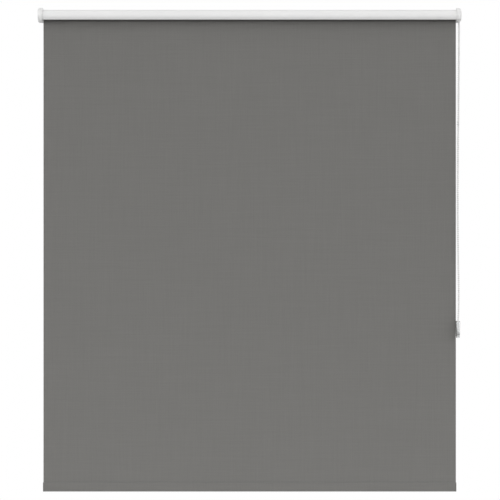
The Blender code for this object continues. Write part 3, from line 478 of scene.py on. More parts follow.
def woven_fabric(name, base, weave=0.05 * MM):
    """Coated blackout cloth in a fine plain weave, with uneven yarns."""
    surface = Surface(name, 0.82, Sheen_Weight=0.08, Sheen_Roughness=0.45)
    over = surface.math("MULTIPLY", surface.waves(0, THREAD_PITCH), surface.waves(2, THREAD_PITCH))
    warp = surface.noise(1.0, 2, (1250, 40, 9))
    weft = surface.noise(1.0, 2, (9, 40, 1250))
    yarns = surface.math("MULTIPLY_ADD", surface.math("ADD", warp, weft), 0.5,
                         surface.math("MULTIPLY", over, 0.06))
    split = surface.node("ShaderNodeSeparateXYZ")
    surface.link(surface.place, split.inputs[0])
    inside = surface.math("SUBTRACT", FABRIC_HALF, surface.math("ABSOLUTE", split.outputs[0]))
    edge = surface.node("ShaderNodeMapRange", interpolation_type="SMOOTHSTEP")
    set_sockets(edge, From_Max=EDGE_BAND, To_Min=EDGE_SHADE)
    surface.link(inside, edge.inputs["Value"])
    cloth = surface.between(yarns, 0.3, 0.7, *shades(base, 0.10))
    mixed = surface.node("ShaderNodeVectorMath", operation="SCALE")
    surface.link(cloth, mixed.inputs[0])
    surface.link(edge.outputs["Result"], mixed.inputs["Scale"])
    surface.colour(mixed.outputs[0])
    surface.roughness(yarns, 0.76, 0.9)
    surface.bump(over, weave)
    surface.bump(yarns, weave)
    return surface.material


def welded_fabric():
    """The same cloth where the welding bar has pressed it: flatter, with a fine knurl."""
    surface = Surface("welded_fabric", 0.6)
    surface.colour(surface.between(surface.noise(1.0, 2, (1250, 40, 60)), 0.3, 0.7,
                                   *shades(PRESSED_COLOUR, 0.08)))
    knurl = surface.math("MULTIPLY", surface.waves(0, 1.0 * MM), surface.waves(2, 1.0 * MM))
    surface.roughness(knurl, 0.5, 0.68)
    surface.bump(knurl, 0.04 * MM)
    return surface.material


def clear_plastic():
    """Clear polycarbonate, slightly hazy, with flow ripples from moulding."""
    surface = Surface("clear_polycarbonate", 0.06, Transmission_Weight=1.0, IOR=1.3)
    surface.colour(surface.between(surface.noise(90, 2), 0.3, 0.7,
                                   (0.97, 0.98, 0.98), (0.99, 1.0, 1.0)))
    surface.roughness(surface.noise(300, 3), 0.03, 0.10)
    surface.bump(surface.noise(160, 2, (1, 1, 0.4)), 0.02 * MM)
    return surface.material


def adhesive_tape():
    """Double-sided tape: pale film over fibres."""
    surface = Surface("tape_film", 0.5)
    surface.colour(surface.between(surface.noise(1.0, 4, (60, 900, 900)), 0.3, 0.7,
                                   (0.62, 0.58, 0.47), (0.80, 0.77, 0.68)))
    surface.bump(surface.noise(1.0, 3, (90, 1400, 1400)), 0.02 * MM)
    return surface.material


POWDER_COAT = lacquered_aluminium()
WHITE_PLASTIC = moulded_plastic("white_moulded_plastic", (0.85, 0.85, 0.845), 0.42)
BEAD_PLASTIC = moulded_plastic("bead_plastic", (0.76, 0.76, 0.75), 0.3, 0.004 * MM)
BLACK_PLASTIC = moulded_plastic("black_moulded_plastic", (0.022, 0.022, 0.024), 0.44)
GREY_PLASTIC = moulded_plastic("grey_moulded_plastic", (0.150, 0.148, 0.142), 0.48)
CLEAR_PLASTIC = clear_plastic()
FABRIC = woven_fabric("grey_blackout_fabric", FABRIC_COLOUR)
WELDED_FABRIC = welded_fabric()
EXTRUDED_METAL = metal("extruded_aluminium", (0.72, 0.72, 0.73), 0.36, (0.01, 1, 1), 0.08, 0.006 * MM)
SPRING_METAL = metal("coiled_steel", (0.40, 0.40, 0.41), 0.3, (1, 0.2, 0.2), 0.12, 0.004 * MM)
ZINC = zinc_plated()
TAPE = adhesive_tape()

# -------- camera and light
CAMERA_DISTANCE = 7.0
CAMERA_SIDE = 1.0 * MM  # camera's offset to the right of the blind's middle
SENSOR = 36.0
VIEW_WIDTH = 1.535  # width seen at the fabric
FLOOR_HEIGHT = -2.3
FLOOR_HALF = 3.0


def make_camera():
    """Level camera in front of the blind's middle."""
    lens = bpy.data.cameras.new("camera")
    lens.sensor_width = SENSOR
    lens.lens = SENSOR * CAMERA_DISTANCE / VIEW_WIDTH
    camera = new_object("camera", lens)
    middle = (cad_low.z + cad_high.z) / 2
    camera.location = (CAMERA_SIDE, -SHEET_DEPTH - CAMERA_DISTANCE, middle)
    camera.rotation_euler = (pi / 2, 0, 0)
    bpy.context.scene.camera = camera


# Brightness of the surroundings by the height of a direction: 1 straight up, -1 straight down
SHADE = 0.1  # dark below and straight above
LOW_BOX = 2.5  # long soft box in front, just above level
BETWEEN = 0.5
HIGH_BOX = LOW_BOX / 2  # weaker soft box over it
FRONT_SKY = ((-1.0, SHADE), (-0.1, SHADE), (0.05, LOW_BOX), (0.2, LOW_BOX), (0.4, BETWEEN),
             (0.65, HIGH_BOX), (1.0, SHADE))
BACK_SKY = ((-1.0, 0.2), (-0.3, 0.9), (0.3, 0.9), (1.0, 0.3))
BACK_START = 0.15  # how far round the sides the two skies blend


def make_world():
    """Soft surroundings: two soft boxes in front, a white back, pure white for the camera."""
    world = bpy.data.worlds.new("studio")
    bpy.context.scene.world = world
    world.use_nodes = True
    tree = world.node_tree
    node = tree.nodes.new
    link = tree.links.new
    split = node("ShaderNodeSeparateXYZ")
    link(node("ShaderNodeTexCoord").outputs["Generated"], split.inputs[0])
    height = set_sockets(node("ShaderNodeMapRange"), From_Min=-1)
    link(split.outputs[2], height.inputs["Value"])

    def sky(stops):
        """Grey ramp over the height of a direction."""
        ramp = node("ShaderNodeValToRGB")
        for position, value in stops[1:-1]:
            ramp.color_ramp.elements.new((position + 1) / 2)
        for element, (position, value) in zip(ramp.color_ramp.elements, stops):
            element.color = (value, value, value, 1)
        link(height.outputs["Result"], ramp.inputs["Fac"])
        return ramp.outputs["Color"]

    def mixed(factor, first):
        """Colour mix whose second colour is still to be set."""
        made = node("ShaderNodeMix")
        made.data_type = "RGBA"
        link(factor, made.inputs["Factor"])
        link(first, made.inputs[6])
        return made

    turn = set_sockets(node("ShaderNodeMapRange"), From_Min=-BACK_START, From_Max=BACK_START)
    turn.interpolation_type = "SMOOTHSTEP"
    link(split.outputs[1], turn.inputs["Value"])
    both = mixed(turn.outputs["Result"], sky(FRONT_SKY))
    link(sky(BACK_SKY), both.inputs[7])
    seen = mixed(node("ShaderNodeLightPath").outputs["Is Camera Ray"], both.outputs[2])
    seen.inputs[7].default_value = (1, 1, 1, 1)
    link(seen.outputs[2], tree.nodes["Background"].inputs["Color"])


KEY_PLACE = Vector((-0.6, -3.2, 2.2))
KEY_AIM = Vector((0, 0, -0.5))
KEY_SIZE = 2.4
KEY_POWER = 8


def make_key_light():
    """Large soft light from above the camera."""
    light = bpy.data.lights.new("key", "AREA")
    light.shape = "DISK"
    light.size = KEY_SIZE
    light.energy = KEY_POWER
    item = new_object("key", light)
    item.location = KEY_PLACE
    item.rotation_euler = (KEY_AIM - KEY_PLACE).to_track_quat("-Z", "Y").to_euler()


def make_studio():
    """Camera, surroundings, key light and a pale floor."""
    make_camera()
    make_world()
    bpy.context.scene.view_settings.view_transform = "Standard"
    make_key_light()
    corners = [(x * FLOOR_HALF, y * FLOOR_HALF, FLOOR_HEIGHT)
               for x, y in ((-1, -1), (1, -1), (1, 1), (-1, 1))]
    floor = mesh_piece("studio_floor", corners, [(0, 1, 2, 3)])
    paint = Surface("pale_floor", 0.7)
    paint.colour(paint.between(paint.noise(3), 0.3, 0.7, (0.89, 0.89, 0.89), (0.91, 0.91, 0.91)))
    floor.data.materials.append(paint.material)


# -------- bead chain
def smooth_path(points, samples):
    """Points on a smooth curve through the given ones; samples lists the steps per stretch."""
    ends = [points[0] * 2 - points[1], *points, points[-1] * 2 - points[-2]]
    path = []
    for index, steps in enumerate(samples):
        a, b, c, d = ends[index:index + 4]
        for step in range(steps):
            t = step / steps
            path.append(0.5 * (2 * b + (c - a) * t + (2 * a - 5 * b + 4 * c - d) * t ** 2
                               + (3 * b - a - 3 * c + d) * t ** 3))
    path.append(points[-1])
    return path


def chain_route():
    """Free chain: down the front strand, round the tensioner's wheel and up the back strand.

    Each strand's points are (height, sideways drift, share of the way to the wheel's strand).
    """
    drift = [(CHAIN_JOINT, 0.0, 0.0), (-0.060, 0.0, 0.03), (-0.160, -0.6 * MM, 0.10),
             (-0.280, -1.6 * MM, 0.21), (-0.400, -2.8 * MM, 0.33), (-0.520, -3.6 * MM, 0.46),
             (-0.640, -3.5 * MM, 0.60), (-0.750, -2.4 * MM, 0.73), (-0.845, -1.0 * MM, 0.86),
             (-0.905, -1.5 * MM, 0.94), (-0.942, -2.8 * MM, 0.99)]
    strands = []
    for start, end in ((CHAIN_FRONT, WHEEL_DEPTH + WHEEL_PITCH_RADIUS),
                       (CHAIN_BACK, WHEEL_DEPTH - WHEEL_PITCH_RADIUS)):
        strands.append([Vector((CHAIN_X + sideways, -(start + (end - start) * share), height))
                        for height, sideways, share in drift])
    bend = [Vector((WHEEL_X, -depth, height)) for depth, height in
            arc((WHEEL_DEPTH, WHEEL_HEIGHT), WHEEL_PITCH_RADIUS, 0, -pi, 8)]
    samples = [6] * 9 + [4] * 2
    return smooth_path(strands[0] + bend + strands[1][::-1], samples + [3] * 8 + samples[::-1])


def spaced(path, step):
    """Points at even distances along a path, and the path's length."""
    travelled = [0.0]
    for first, second in zip(path, path[1:]):
        travelled.append(travelled[-1] + (second - first).length)
    count = max(1, round(travelled[-1] / step))
    made = []
    index = 0
    for number in range(count + 1):
        wanted = travelled[-1] * number / count
        while index < len(path) - 2 and travelled[index + 1] < wanted:
            index += 1
        share = (wanted - travelled[index]) / (travelled[index + 1] - travelled[index])
        made.append(path[index].lerp(path[index + 1], share))
    return made, travelled[-1]


THREAD_RADIUS = 0.55 * MM
THREAD_SIDES = 6
BEAD_SIDES = 14
BEAD_RINGS = 8


def direction(path, index):
    """Direction of travel at one point of a path."""
    before = path[max(index - 1, 0)]
    after = path[min(index + 1, len(path) - 1)]
    return (after - before).normalized()


def ring_about(centre, across, around, radius, sides):
    """Points round a circle that lies in two directions."""
    return [centre + (across * u + around * v) * radius for u, v in circle((0, 0), 1, sides)]


def bead_chain(name, beads, thread):
    """Round beads on a thread, in one mesh."""
    points = []
    faces = []
    for index, bead in enumerate(beads):
        along = direction(beads, index)
        across = along.orthogonal().normalized()
        base = len(points)
        points.append(bead - along * BEAD_RADIUS)
        for step in range(1, BEAD_RINGS):
            polar = pi * step / BEAD_RINGS
            points += ring_about(bead - along * BEAD_RADIUS * cos(polar), across,
                                 along.cross(across), BEAD_RADIUS * sin(polar), BEAD_SIDES)
        points.append(bead + along * BEAD_RADIUS)
        rings = [base + 1 + step * BEAD_SIDES for step in range(BEAD_RINGS - 1)]
        for low, high in zip(rings, rings[1:]):
            faces += between_rings(low, high, BEAD_SIDES)
        for side in range(BEAD_SIDES):
            beside = (side + 1) % BEAD_SIDES
            faces.append((base, rings[0] + beside, rings[0] + side))
            faces.append((len(points) - 1, rings[-1] + side, rings[-1] + beside))
    rows = []
    for index, point in enumerate(thread):
        along = direction(thread, index)
        across = along.cross(Vector((1, 0, 0))).normalized()
        rows.append(len(points))
        points += ring_about(point, across, along.cross(across), THREAD_RADIUS, THREAD_SIDES)
    for first, second in zip(rows, rows[1:]):
        faces += between_rings(first, second, THREAD_SIDES)
    faces += [tuple(range(row, row + THREAD_SIDES)) for row in (rows[0], rows[-1])]
    return mesh_piece(name, points, faces)


def build_chain():
    """The free loop, and the beads that stay over the chain wheel."""
    path = chain_route()
    beads, length = spaced(path, BEAD_PITCH)
    loop = bead_chain("bead_chain_loop", beads, path)
    finish_piece(loop, "root", BEAD_PLASTIC, ["chain_loop"])
    foot = CHAIN_JOINT + 2 * BEAD_RADIUS + GAP
    turn = arc((AXIS_DEPTH, AXIS_HEIGHT), SPROCKET_RADIUS, 0, pi, 24)
    top = [Vector((CHAIN_X, -depth, height))
           for depth, height in [(CHAIN_FRONT, foot), *turn, (CHAIN_BACK, foot)]]
    over = bead_chain("bead_chain_over_wheel", spaced(top, BEAD_PITCH)[0], top)
    finish_piece(over, "root", BEAD_PLASTIC, ["chain_over_sprocket"])


def build_connector():
    """Clear snap connector that closes the chain into a loop."""
    low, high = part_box("chain_joiner")
    centre = (low + high) / 2
    half = (high.z - low.z) / 2
    outside = (high.x - low.x) / 2
    inside = BEAD_RADIUS + GAP
    edge = 0.25 * MM
    waist = outside - 0.3 * MM
    profile = [(outside - edge, half), (outside, half - edge), (outside, half * 0.45),
               (waist, half * 0.3), (waist, -half * 0.3), (outside, -half * 0.45),
               (outside, edge - half), (outside - edge, -half), (inside, -half), (inside, half)]
    connector = lathe("chain_connector", profile, centre, "z", 40)
    slot = front_piece("connector_slot",
                       [rounded_box((centre.x - 0.5 * MM, centre.z - half * 0.7),
                                    (centre.x + 0.5 * MM, centre.z + half * 0.7), 0.3 * MM)],
                       -centre.y + inside * 0.5, -centre.y + outside + MM)
    boolean(connector, slot)
    finish_piece(connector, "root", CLEAR_PLASTIC, ["chain_joiner"])


# -------- tensioner
TENSIONER_TOP_HALF = 6.0 * MM
TENSIONER_LOW_HALF = 4.95 * MM
TENSIONER_WALL = 1.2 * MM
TENSIONER_CORNER = 3 * MM
SHELL_ROUNDING = 1.4 * MM
SHELL_STEPS = 6  # rings over a shell's rounded rim
WHEEL_HALF = 3.3 * MM  # half the pulley wheel's width
WHEEL_BORE = 1.8 * MM
HUB_GROOVE = (2.4 * MM, 2.6 * MM, 3.8 * MM, 4.2 * MM)  # radii of the recess in each side face
HUB_RECESS = 0.9 * MM


def tensioner_outline(inset):
    """Side outline of the tensioner: a half circle below and two small corners above."""
    reach = WHEEL_HEIGHT - shell_low.z - inset
    top = shell_high.z - inset
    corner = TENSIONER_CORNER - inset
    outline = arc((WHEEL_DEPTH, WHEEL_HEIGHT), reach, -pi, 0, 40)
    outline += arc((WHEEL_DEPTH + reach - corner, top - corner), corner, 0, pi / 2, 8)
    outline += arc((WHEEL_DEPTH - reach + corner, top - corner), corner, pi / 2, pi, 8)
    return outline


def shell_half(height):
    """Half width of the tensioner at a height: it narrows towards its foot."""
    share = (height - shell_low.z) / (shell_high.z - shell_low.z)
    return TENSIONER_LOW_HALF + (TENSIONER_TOP_HALF - TENSIONER_LOW_HALF) * share


def shell_surface(side, inset, rounding, x_inside):
    """Rings from a shell's open edge over its rounded rim to its outer face."""
    rings = []
    for step in range(-1, SHELL_STEPS + 1):
        angle = pi / 2 * max(step, 0) / SHELL_STEPS
        shrink = inset + rounding * (1 - cos(angle))
        ring = []
        for depth, height in tensioner_outline(shrink):
            outer = shell_half(height) - inset - rounding * (1 - sin(angle))
            x = x_inside if step < 0 else outer
            ring.append(Vector((WHEEL_X + side * x, -depth, height)))
        rings.append(ring)
    return rings


def build_tensioner():
    """Two clear half shells snapped together round the wheel and its pin."""
    for label, side in (("left", -1), ("right", 1)):
        outer = shell_surface(side, 0.0, SHELL_ROUNDING, GAP / 2)
        shell = loft(f"tensioner_{label}", outer)
        room = loft("tensioner_room", shell_surface(side, TENSIONER_WALL, 0.5 * MM, -MM))
        top = shell_high.z
        reach = WHEEL_PITCH_RADIUS + BEAD_RADIUS + 0.5 * MM
        mouth = front_piece("tensioner_mouth",
                            [rounded_box((WHEEL_X - SLOT_HALF, top - 4 * MM),
                                         (WHEEL_X + SLOT_HALF, top + 3 * MM), 0.8 * MM)],
                            WHEEL_DEPTH - reach, WHEEL_DEPTH + reach)
        bore = side_piece("tensioner_bore", [circle((WHEEL_DEPTH, WHEEL_HEIGHT), WHEEL_BORE)],
                          WHEEL_X, WHEEL_X + side * 9 * MM)
        boolean(shell, room, mouth, bore)
        finish_piece(shell, "root", CLEAR_PLASTIC, [f"tensioner_shell_{label}"])

    half = WHEEL_HALF
    rim = WHEEL_PITCH_RADIUS + BEAD_RADIUS * 0.3
    floor = WHEEL_PITCH_RADIUS - BEAD_RADIUS - GAP
    groove = [(rim, -half), (rim, -half + 0.4 * MM)]
    groove += [(rim - (rim - floor) * sin(pi * step / 10) ** 0.6, (half - 0.6 * MM) * (step / 5 - 1))
               for step in range(1, 10)]
    groove += [(rim, half - 0.4 * MM), (rim, half)]
    inner, inner_floor, outer_floor, outer = HUB_GROOVE
    face = [(outer, half), (outer_floor, half - HUB_RECESS), (inner_floor, half - HUB_RECESS),
            (inner, half), (WHEEL_BORE, half)]
    groove += face + [(radius, -along) for radius, along in reversed(face)]
    wheel = lathe("tensioner_pulley_wheel", groove, (WHEEL_X, -WHEEL_DEPTH, WHEEL_HEIGHT))
    finish_piece(wheel, "tensioner_pulley", WHITE_PLASTIC, ["tensioner_wheel"])


# -------- cassette
def cassette_outline():
    """Section of the extrusion: back wall with two hooks, top wall, round front."""
    back = BRACKET_SPACE
    hook_back = back - HOOK_SLOT - CASSETTE_WALL
    hook_front = hook_back + CASSETTE_WALL
    inner_back = back + CASSETTE_WALL
    inside = CASSETTE_RADIUS - CASSETTE_WALL
    top = cassette_high.z
    centre = (AXIS_DEPTH, AXIS_HEIGHT)
    lip = radians(-45)
    outline = [(back, cassette_low.z), (inner_back, cassette_low.z), (inner_back, top - CASSETTE_WALL)]
    outline += arc(centre, inside, pi / 2, lip, 72)
    middle = inside + CASSETTE_WALL / 2
    end = (AXIS_DEPTH + middle * cos(lip), AXIS_HEIGHT + middle * sin(lip))
    outline += arc(end, CASSETTE_WALL / 2, lip - pi, lip, 10)[1:-1]
    outline += arc(centre, CASSETTE_RADIUS, lip, pi / 2, 72)

    def hook(height):
        """Down-turned hook that stands off the back wall."""
        return [(hook_back, height), (hook_back, height - HOOK_TIP), (hook_front, height - HOOK_TIP),
                (hook_front, height - CASSETTE_WALL), (back, height - CASSETTE_WALL)]

    outline += hook(top) + [(back, LOWER_HOOK)] + hook(LOWER_HOOK)
    return filleted(outline, 0.45 * MM)


def build_cassette():
    """Powder-coated extrusion with its two screw ports."""
    half = cassette_high.x
    profile = side_piece("cassette", [cassette_outline()], -half, half)
    ports = [side_piece(f"port_{index}", [circle(place, PORT_RADIUS)], -half, half)
             for index, place in enumerate(PORTS)]
    boolean(profile, *ports, operation="UNION")
    bores = [side_piece(f"bore_{index}", [circle(place, PORT_BORE, 24)], -half - MM, half + MM)
             for index, place in enumerate(PORTS)]
    boolean(profile, *bores)
    finish_piece(profile, "root", POWDER_COAT, ["cassette_profile"])


# -------- end caps
def cap_outline(inset=0.0, share=1.0):
    """D-shaped side outline of an end cap, drawn in by an inset and scaled about its middle."""
    radius = CAP_RADIUS - inset
    corner = CAP_CORNER - inset
    back = CAP_BACK + inset
    outline = arc((AXIS_DEPTH, 0), radius, -pi / 2, pi / 2, 60)
    outline += arc((back + corner, radius - corner), corner, pi / 2, pi, 14)
    outline += arc((back + corner, corner - radius), corner, pi, 1.5 * pi, 14)
    middle = AXIS_DEPTH - 2 * MM
    return [(middle + (depth - middle) * share, height * share) for depth, height in outline]


CAP_STYLES = {1: (5.5 * MM, 0.52, 2.0), -1: (9.0 * MM, 0.74, 2.2)}  # straight rim, face, fullness
CROWN = 1.3 * MM  # how far the outer face bulges
BOSS_RADIUS = 7.5 * MM
BOSS_HEIGHT = 2.2 * MM
SPINDLE_HALF = 2.9 * MM  # half the spindle's square end


def dome(side, inset, foot):
    """Rings of a cap's surface, from its rim at foot to the middle of its crowned outer face."""
    straight, face, fullness = CAP_STYLES[side]
    outer = abs(drive_high.x if side > 0 else idle_low.x) - inset
    start = INNER + straight
    rings = [(foot, 1.0), (foot + (start - foot) * 0.5, 1.0), (start, 1.0)]
    for step in range(1, 15):
        angle = pi / 2 * step / 14
        share = face + (1 - face) * cos(angle) ** (2 / fullness)
        rings.append((start + (outer - CROWN - start) * sin(angle) ** (2 / fullness), share))
    for share in (0.8, 0.6, 0.4, 0.2, 0.04):
        rings.append((outer - CROWN * share ** 2, face * share))
    return [[Vector((side * x, -depth, height)) for depth, height in cap_outline(inset, share)]
            for x, share in rings]


def build_cover(name, side):
    """Moulded cover: a domed shell, hollow from its inner side."""
    cover = loft(name, dome(side, 0.0, INNER))
    hollow = loft("cap_hollow", dome(side, CAP_WALL, INNER - 2 * MM))
    boolean(cover, hollow)
    return cover


def parting_line(cover, side, top, foot, width=0.35 * MM, depth=0.35 * MM):
    """Slanted groove round a cover; top and foot are its distances from the inner face."""
    outer = cap_outline(-MM)
    inner = cap_outline(depth)
    rings = []
    for outline, offset in ((outer, -width / 2), (inner, -width / 2),
                            (inner, width / 2), (outer, width / 2)):
        ring = []
        for depth_here, height in outline:
            share = (height + CAP_RADIUS) / (2 * CAP_RADIUS)
            x = INNER + foot + (top - foot) * share + offset
            ring.append(Vector((side * x, -depth_here, height)))
        rings.append(ring)
    groove = loft("parting_groove", rings, ends_meet=True)
    boolean(cover, groove)


def build_end_caps():
    """Drive cap with its spindle boss and chain slots, and the plain idle cap."""
    drive = build_cover("drive_cap", 1)
    boss_end = drive_high.x - CAP_WALL
    boss = side_piece("boss", [circle((AXIS_DEPTH, AXIS_HEIGHT), BOSS_RADIUS, 48)],
                      boss_end - BOSS_HEIGHT, boss_end + MM)
    boolean(drive, boss, operation="UNION")
    reach = SPINDLE_HALF + GAP
    socket = side_piece("socket", [rounded_box((AXIS_DEPTH - reach, AXIS_HEIGHT - reach),
                                               (AXIS_DEPTH + reach, AXIS_HEIGHT + reach), 0.3 * MM)],
                        boss_end - 4 * MM, boss_end)
    cuts = [socket]
    for depth in (CHAIN_FRONT, CHAIN_BACK):
        slot = rounded_box((depth - SLOT_HALF, -CAP_RADIUS - 2 * MM),
                           (depth + SLOT_HALF, CHAIN_SLOT_TOP), 1.5 * MM)
        cuts.append(side_piece("slot", [slot], CHAIN_X - SLOT_HALF, CHAIN_X + SLOT_HALF))
    boolean(drive, *cuts)
    parting_line(drive, 1, top=1.2 * MM, foot=1.2 * MM)
    finish_piece(drive, "root", WHITE_PLASTIC, ["drive_cap_cover"])
    idle = build_cover("idle_cap", -1)
    parting_line(idle, -1, top=4.4 * MM, foot=1.0 * MM, width=0.8 * MM, depth=0.9 * MM)
    finish_piece(idle, "root", WHITE_PLASTIC, ["idle_cap_cover"])


# -------- curtain
SHEET_COLUMNS = 96
SHEET_ROWS = 120
RIPPLE = 0.45 * MM  # the cloth's departure from a plane
EDGE_CURL = 0.5 * MM
CURL_WIDTH = 9 * MM
FLAT_END = 0.12  # the ripple fades out over this much at the top and the foot


def build_sheet():
    """Hanging cloth: nearly flat, with a faint ripple and slightly curled side edges."""
    shares = [2 * column / SHEET_COLUMNS - 1 for column in range(SHEET_COLUMNS + 1)]
    columns = [FABRIC_HALF * (1.5 * share - 0.5 * share ** 3) for share in shares]
    rows = [sheet_low.z + (sheet_high.z - sheet_low.z) * row / SHEET_ROWS
            for row in range(SHEET_ROWS + 1)]
    front = []
    for z in rows:
        fade = min(1.0, (z - sheet_low.z) / FLAT_END, (sheet_high.z - z) / FLAT_END)
        fade = fade * fade * (3 - 2 * fade)
        for x in columns:
            wave = (noise.noise(Vector((x * 2.6, 0.3, z * 0.7))) + 1) / 2 * RIPPLE
            inside = (FABRIC_HALF - abs(x)) / CURL_WIDTH
            curl = EDGE_CURL * max(0.0, 1 - inside) ** 2
            front.append(Vector((x, -SHEET_DEPTH + fade * (wave + curl), z)))
    half = FABRIC_THICKNESS / 2
    wide = SHEET_COLUMNS + 1
    tall = SHEET_ROWS + 1
    points = [point + Vector((0, offset, 0)) for offset in (-half, half) for point in front]
    back = wide * tall
    faces = []
    for row in range(SHEET_ROWS):
        for column in range(SHEET_COLUMNS):
            a = row * wide + column
            faces.append((a, a + 1, a + wide + 1, a + wide))
            faces.append((back + a, back + a + wide, back + a + wide + 1, back + a + 1))
    rim = [*range(wide), *range(2 * wide - 1, back, wide), *range(back - 2, back - wide - 1, -1),
           *range(back - 2 * wide, 0, -wide)]
    faces += [(first, back + first, back + second, second)
              for first, second in zip(rim, rim[1:] + rim[:1])]
    sheet = mesh_piece("curtain_fabric", points, faces)
    finish_piece(sheet, "root", FABRIC, ["fabric_sheet"])
    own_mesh(sheet)


LENS_FULLNESS = 0.42  # 1 is a plain ellipse, less is boxier


def lens(half_thickness, low, high, count=22):
    """Shallow convex section of the hem, pointed at its top and foot."""
    middle = (low + high) / 2
    half_height = (high - low) / 2
    angles = [-pi / 2 + pi * step / count for step in range(count + 1)]
    front = [(SHEET_DEPTH + half_thickness * max(cos(angle), 0.0) ** LENS_FULLNESS,
              middle + half_height * sin(angle)) for angle in angles]
    return front + [(2 * SHEET_DEPTH - depth, height) for depth, height in reversed(front[1:-1])]


def build_hem():
    """Pocket folded from the same cloth, the welded band above it, and its end plugs."""
    pocket_top = HEM_TOP - HEM_WELD
    outer = lens(POCKET_HALF, HEM_BOTTOM, pocket_top)
    inner = lens(POCKET_HALF - FABRIC_THICKNESS, HEM_BOTTOM + FABRIC_THICKNESS,
                 pocket_top - FABRIC_THICKNESS)
    count = 80
    there = range(count + 1)
    rings = []
    for outline, run in ((outer, there), (inner, reversed(there))):
        for step in run:
            x = FABRIC_HALF * (2 * step / count - 1)
            swell = 1 + 0.03 * noise.noise(Vector((x * 3.1, 1.7, 0)))
            rings.append([Vector((x, -(SHEET_DEPTH + (depth - SHEET_DEPTH) * swell), height))
                          for depth, height in outline])
    pocket = loft("hem", rings, ends_meet=True)
    finish_piece(pocket, "hem_rail", FABRIC, ["hem_pocket"])

    half = FABRIC_THICKNESS + 0.12 * MM
    strip_top = HEM_TOP + 0.4 * MM
    low = pocket_top - 0.5 * MM
    band = [(SHEET_DEPTH + half, low), (SHEET_DEPTH + half, pocket_top + 0.4 * MM),
            (SHEET_DEPTH + half * 0.55, pocket_top + 0.8 * MM),
            (SHEET_DEPTH + half * 0.55, strip_top - 0.4 * MM), (SHEET_DEPTH + half, strip_top)]
    band += [(2 * SHEET_DEPTH - depth, height) for depth, height in reversed(band)]
    weld_band = side_piece("hem_weld_band", [filleted(band, 0.2 * MM)], -FABRIC_HALF, FABRIC_HALF)
    finish_piece(weld_band, "hem_rail", WELDED_FABRIC)

    bar_low, bar_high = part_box("hem_bar")
    for label, side in (("left", -1), ("right", 1)):
        face = FABRIC_HALF + GAP
        edge = 0.4 * MM
        plan = [(face, 0.0), (plug_high.x - edge, 0.0), (plug_high.x, edge)]
        rings = []
        for x, inset in plan:
            rings.append([Vector((side * x, -depth, height)) for depth, height in
                          lens(POCKET_HALF - inset, HEM_BOTTOM + inset, pocket_top - inset)])
        plug = loft(f"hem_plug_{label}", rings)
        thick = (bar_high.y - bar_low.y) * 0.35
        middle = (bar_low.z + bar_high.z) / 2
        tall = (bar_high.z - bar_low.z) * 0.4
        tongue = side_piece("tongue", [rounded_box((SHEET_DEPTH - thick, middle - tall),
                                                   (SHEET_DEPTH + thick, middle + tall), 0.5 * MM)],
                            side * plug_low.x, side * (face + 0.4 * MM))
        boolean(plug, tongue, operation="UNION")
        finish_piece(plug, "hem_rail", GREY_PLASTIC, [f"hem_cap_{label}"])


TURNS_LEFT = 2  # turns of cloth on the tube with the curtain down
ROLL_STEPS = 72  # points to a turn


def build_roll():
    """Cloth left on the tube: two turns of a spiral, with its free end's edge showing."""
    start_radius = AXIS_HEIGHT - wraps_low.z - TURNS_LEFT * FABRIC_THICKNESS

    def spiral(thickness):
        """Points along the cloth's surface at a thickness under its outer one."""
        points = []
        for step in range(ROLL_STEPS * TURNS_LEFT + 1):
            angle = 2 * pi * step / ROLL_STEPS + pi / 2
            radius = start_radius + FABRIC_THICKNESS * step / ROLL_STEPS - thickness
            points.append((AXIS_DEPTH + radius * cos(angle), AXIS_HEIGHT + radius * sin(angle)))
        return points

    outline = spiral(0) + spiral(FABRIC_THICKNESS * 0.86)[::-1]
    roll = side_piece("fabric_on_roller", [outline], -FABRIC_HALF, FABRIC_HALF)
    finish_piece(roll, "roller", FABRIC, ["fabric_wraps"])


# -------- springs
COIL_STEPS = 28  # rings to a turn
WIRE_SIDES = 10


def coil_spring(name, node, body, turns, wire_radius):
    """Round wire wound about the roller's axis, in the space of a CAD spring."""
    low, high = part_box(node)
    mean = (high.z - low.z) / 2 - wire_radius
    start = low.x + wire_radius
    end = high.x - wire_radius
    count = turns * COIL_STEPS
    rings = []
    for step in range(count + 1):
        angle = 2 * pi * step / COIL_STEPS
        outward = Vector((0, cos(angle), sin(angle)))
        centre = Vector((start + (end - start) * step / count, -AXIS_DEPTH, AXIS_HEIGHT))
        centre += outward * mean
        rings.append([centre + outward * u + Vector((v, 0, 0))
                      for u, v in circle((0, 0), wire_radius, WIRE_SIDES)])
    spring = loft(name, rings)
    return finish_piece(spring, body, SPRING_METAL, [node], 60)


def build_springs():
    """Clutch spring, and the idle pin's spring, which rides with the roller on a mesh of its own."""
    coil_spring("clutch_coil", "wrap_spring", "root", 8, 0.45 * MM)
    pin_coil = coil_spring("idle_pin_coil", "pin_spring", "roller", 6, 0.35 * MM)
    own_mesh(pin_coil)


# -------- brackets
STEEL = 1.2 * MM
HOLE_OFFSET = 11 * MM  # screw holes to the bracket's middle
HOLE_HALF = 3.2 * MM
HOLE_LOW = 4.7 * MM
HOLE_HIGH = 9.1 * MM
PIVOT_HEIGHT = joint_place("lever_turn_centre")[2]
PIVOT_HOLE = 1.6 * MM
LEVER_FRONT = 5.7 * MM
BLADE = 1.4 * MM
BLADE_HALF = 3.2 * MM
HUB_RADIUS = 4.4 * MM
RIB_HALF = 2.2 * MM
RIVET_HEAD = 2.4 * MM
RIVET_SHANK = 1.3 * MM


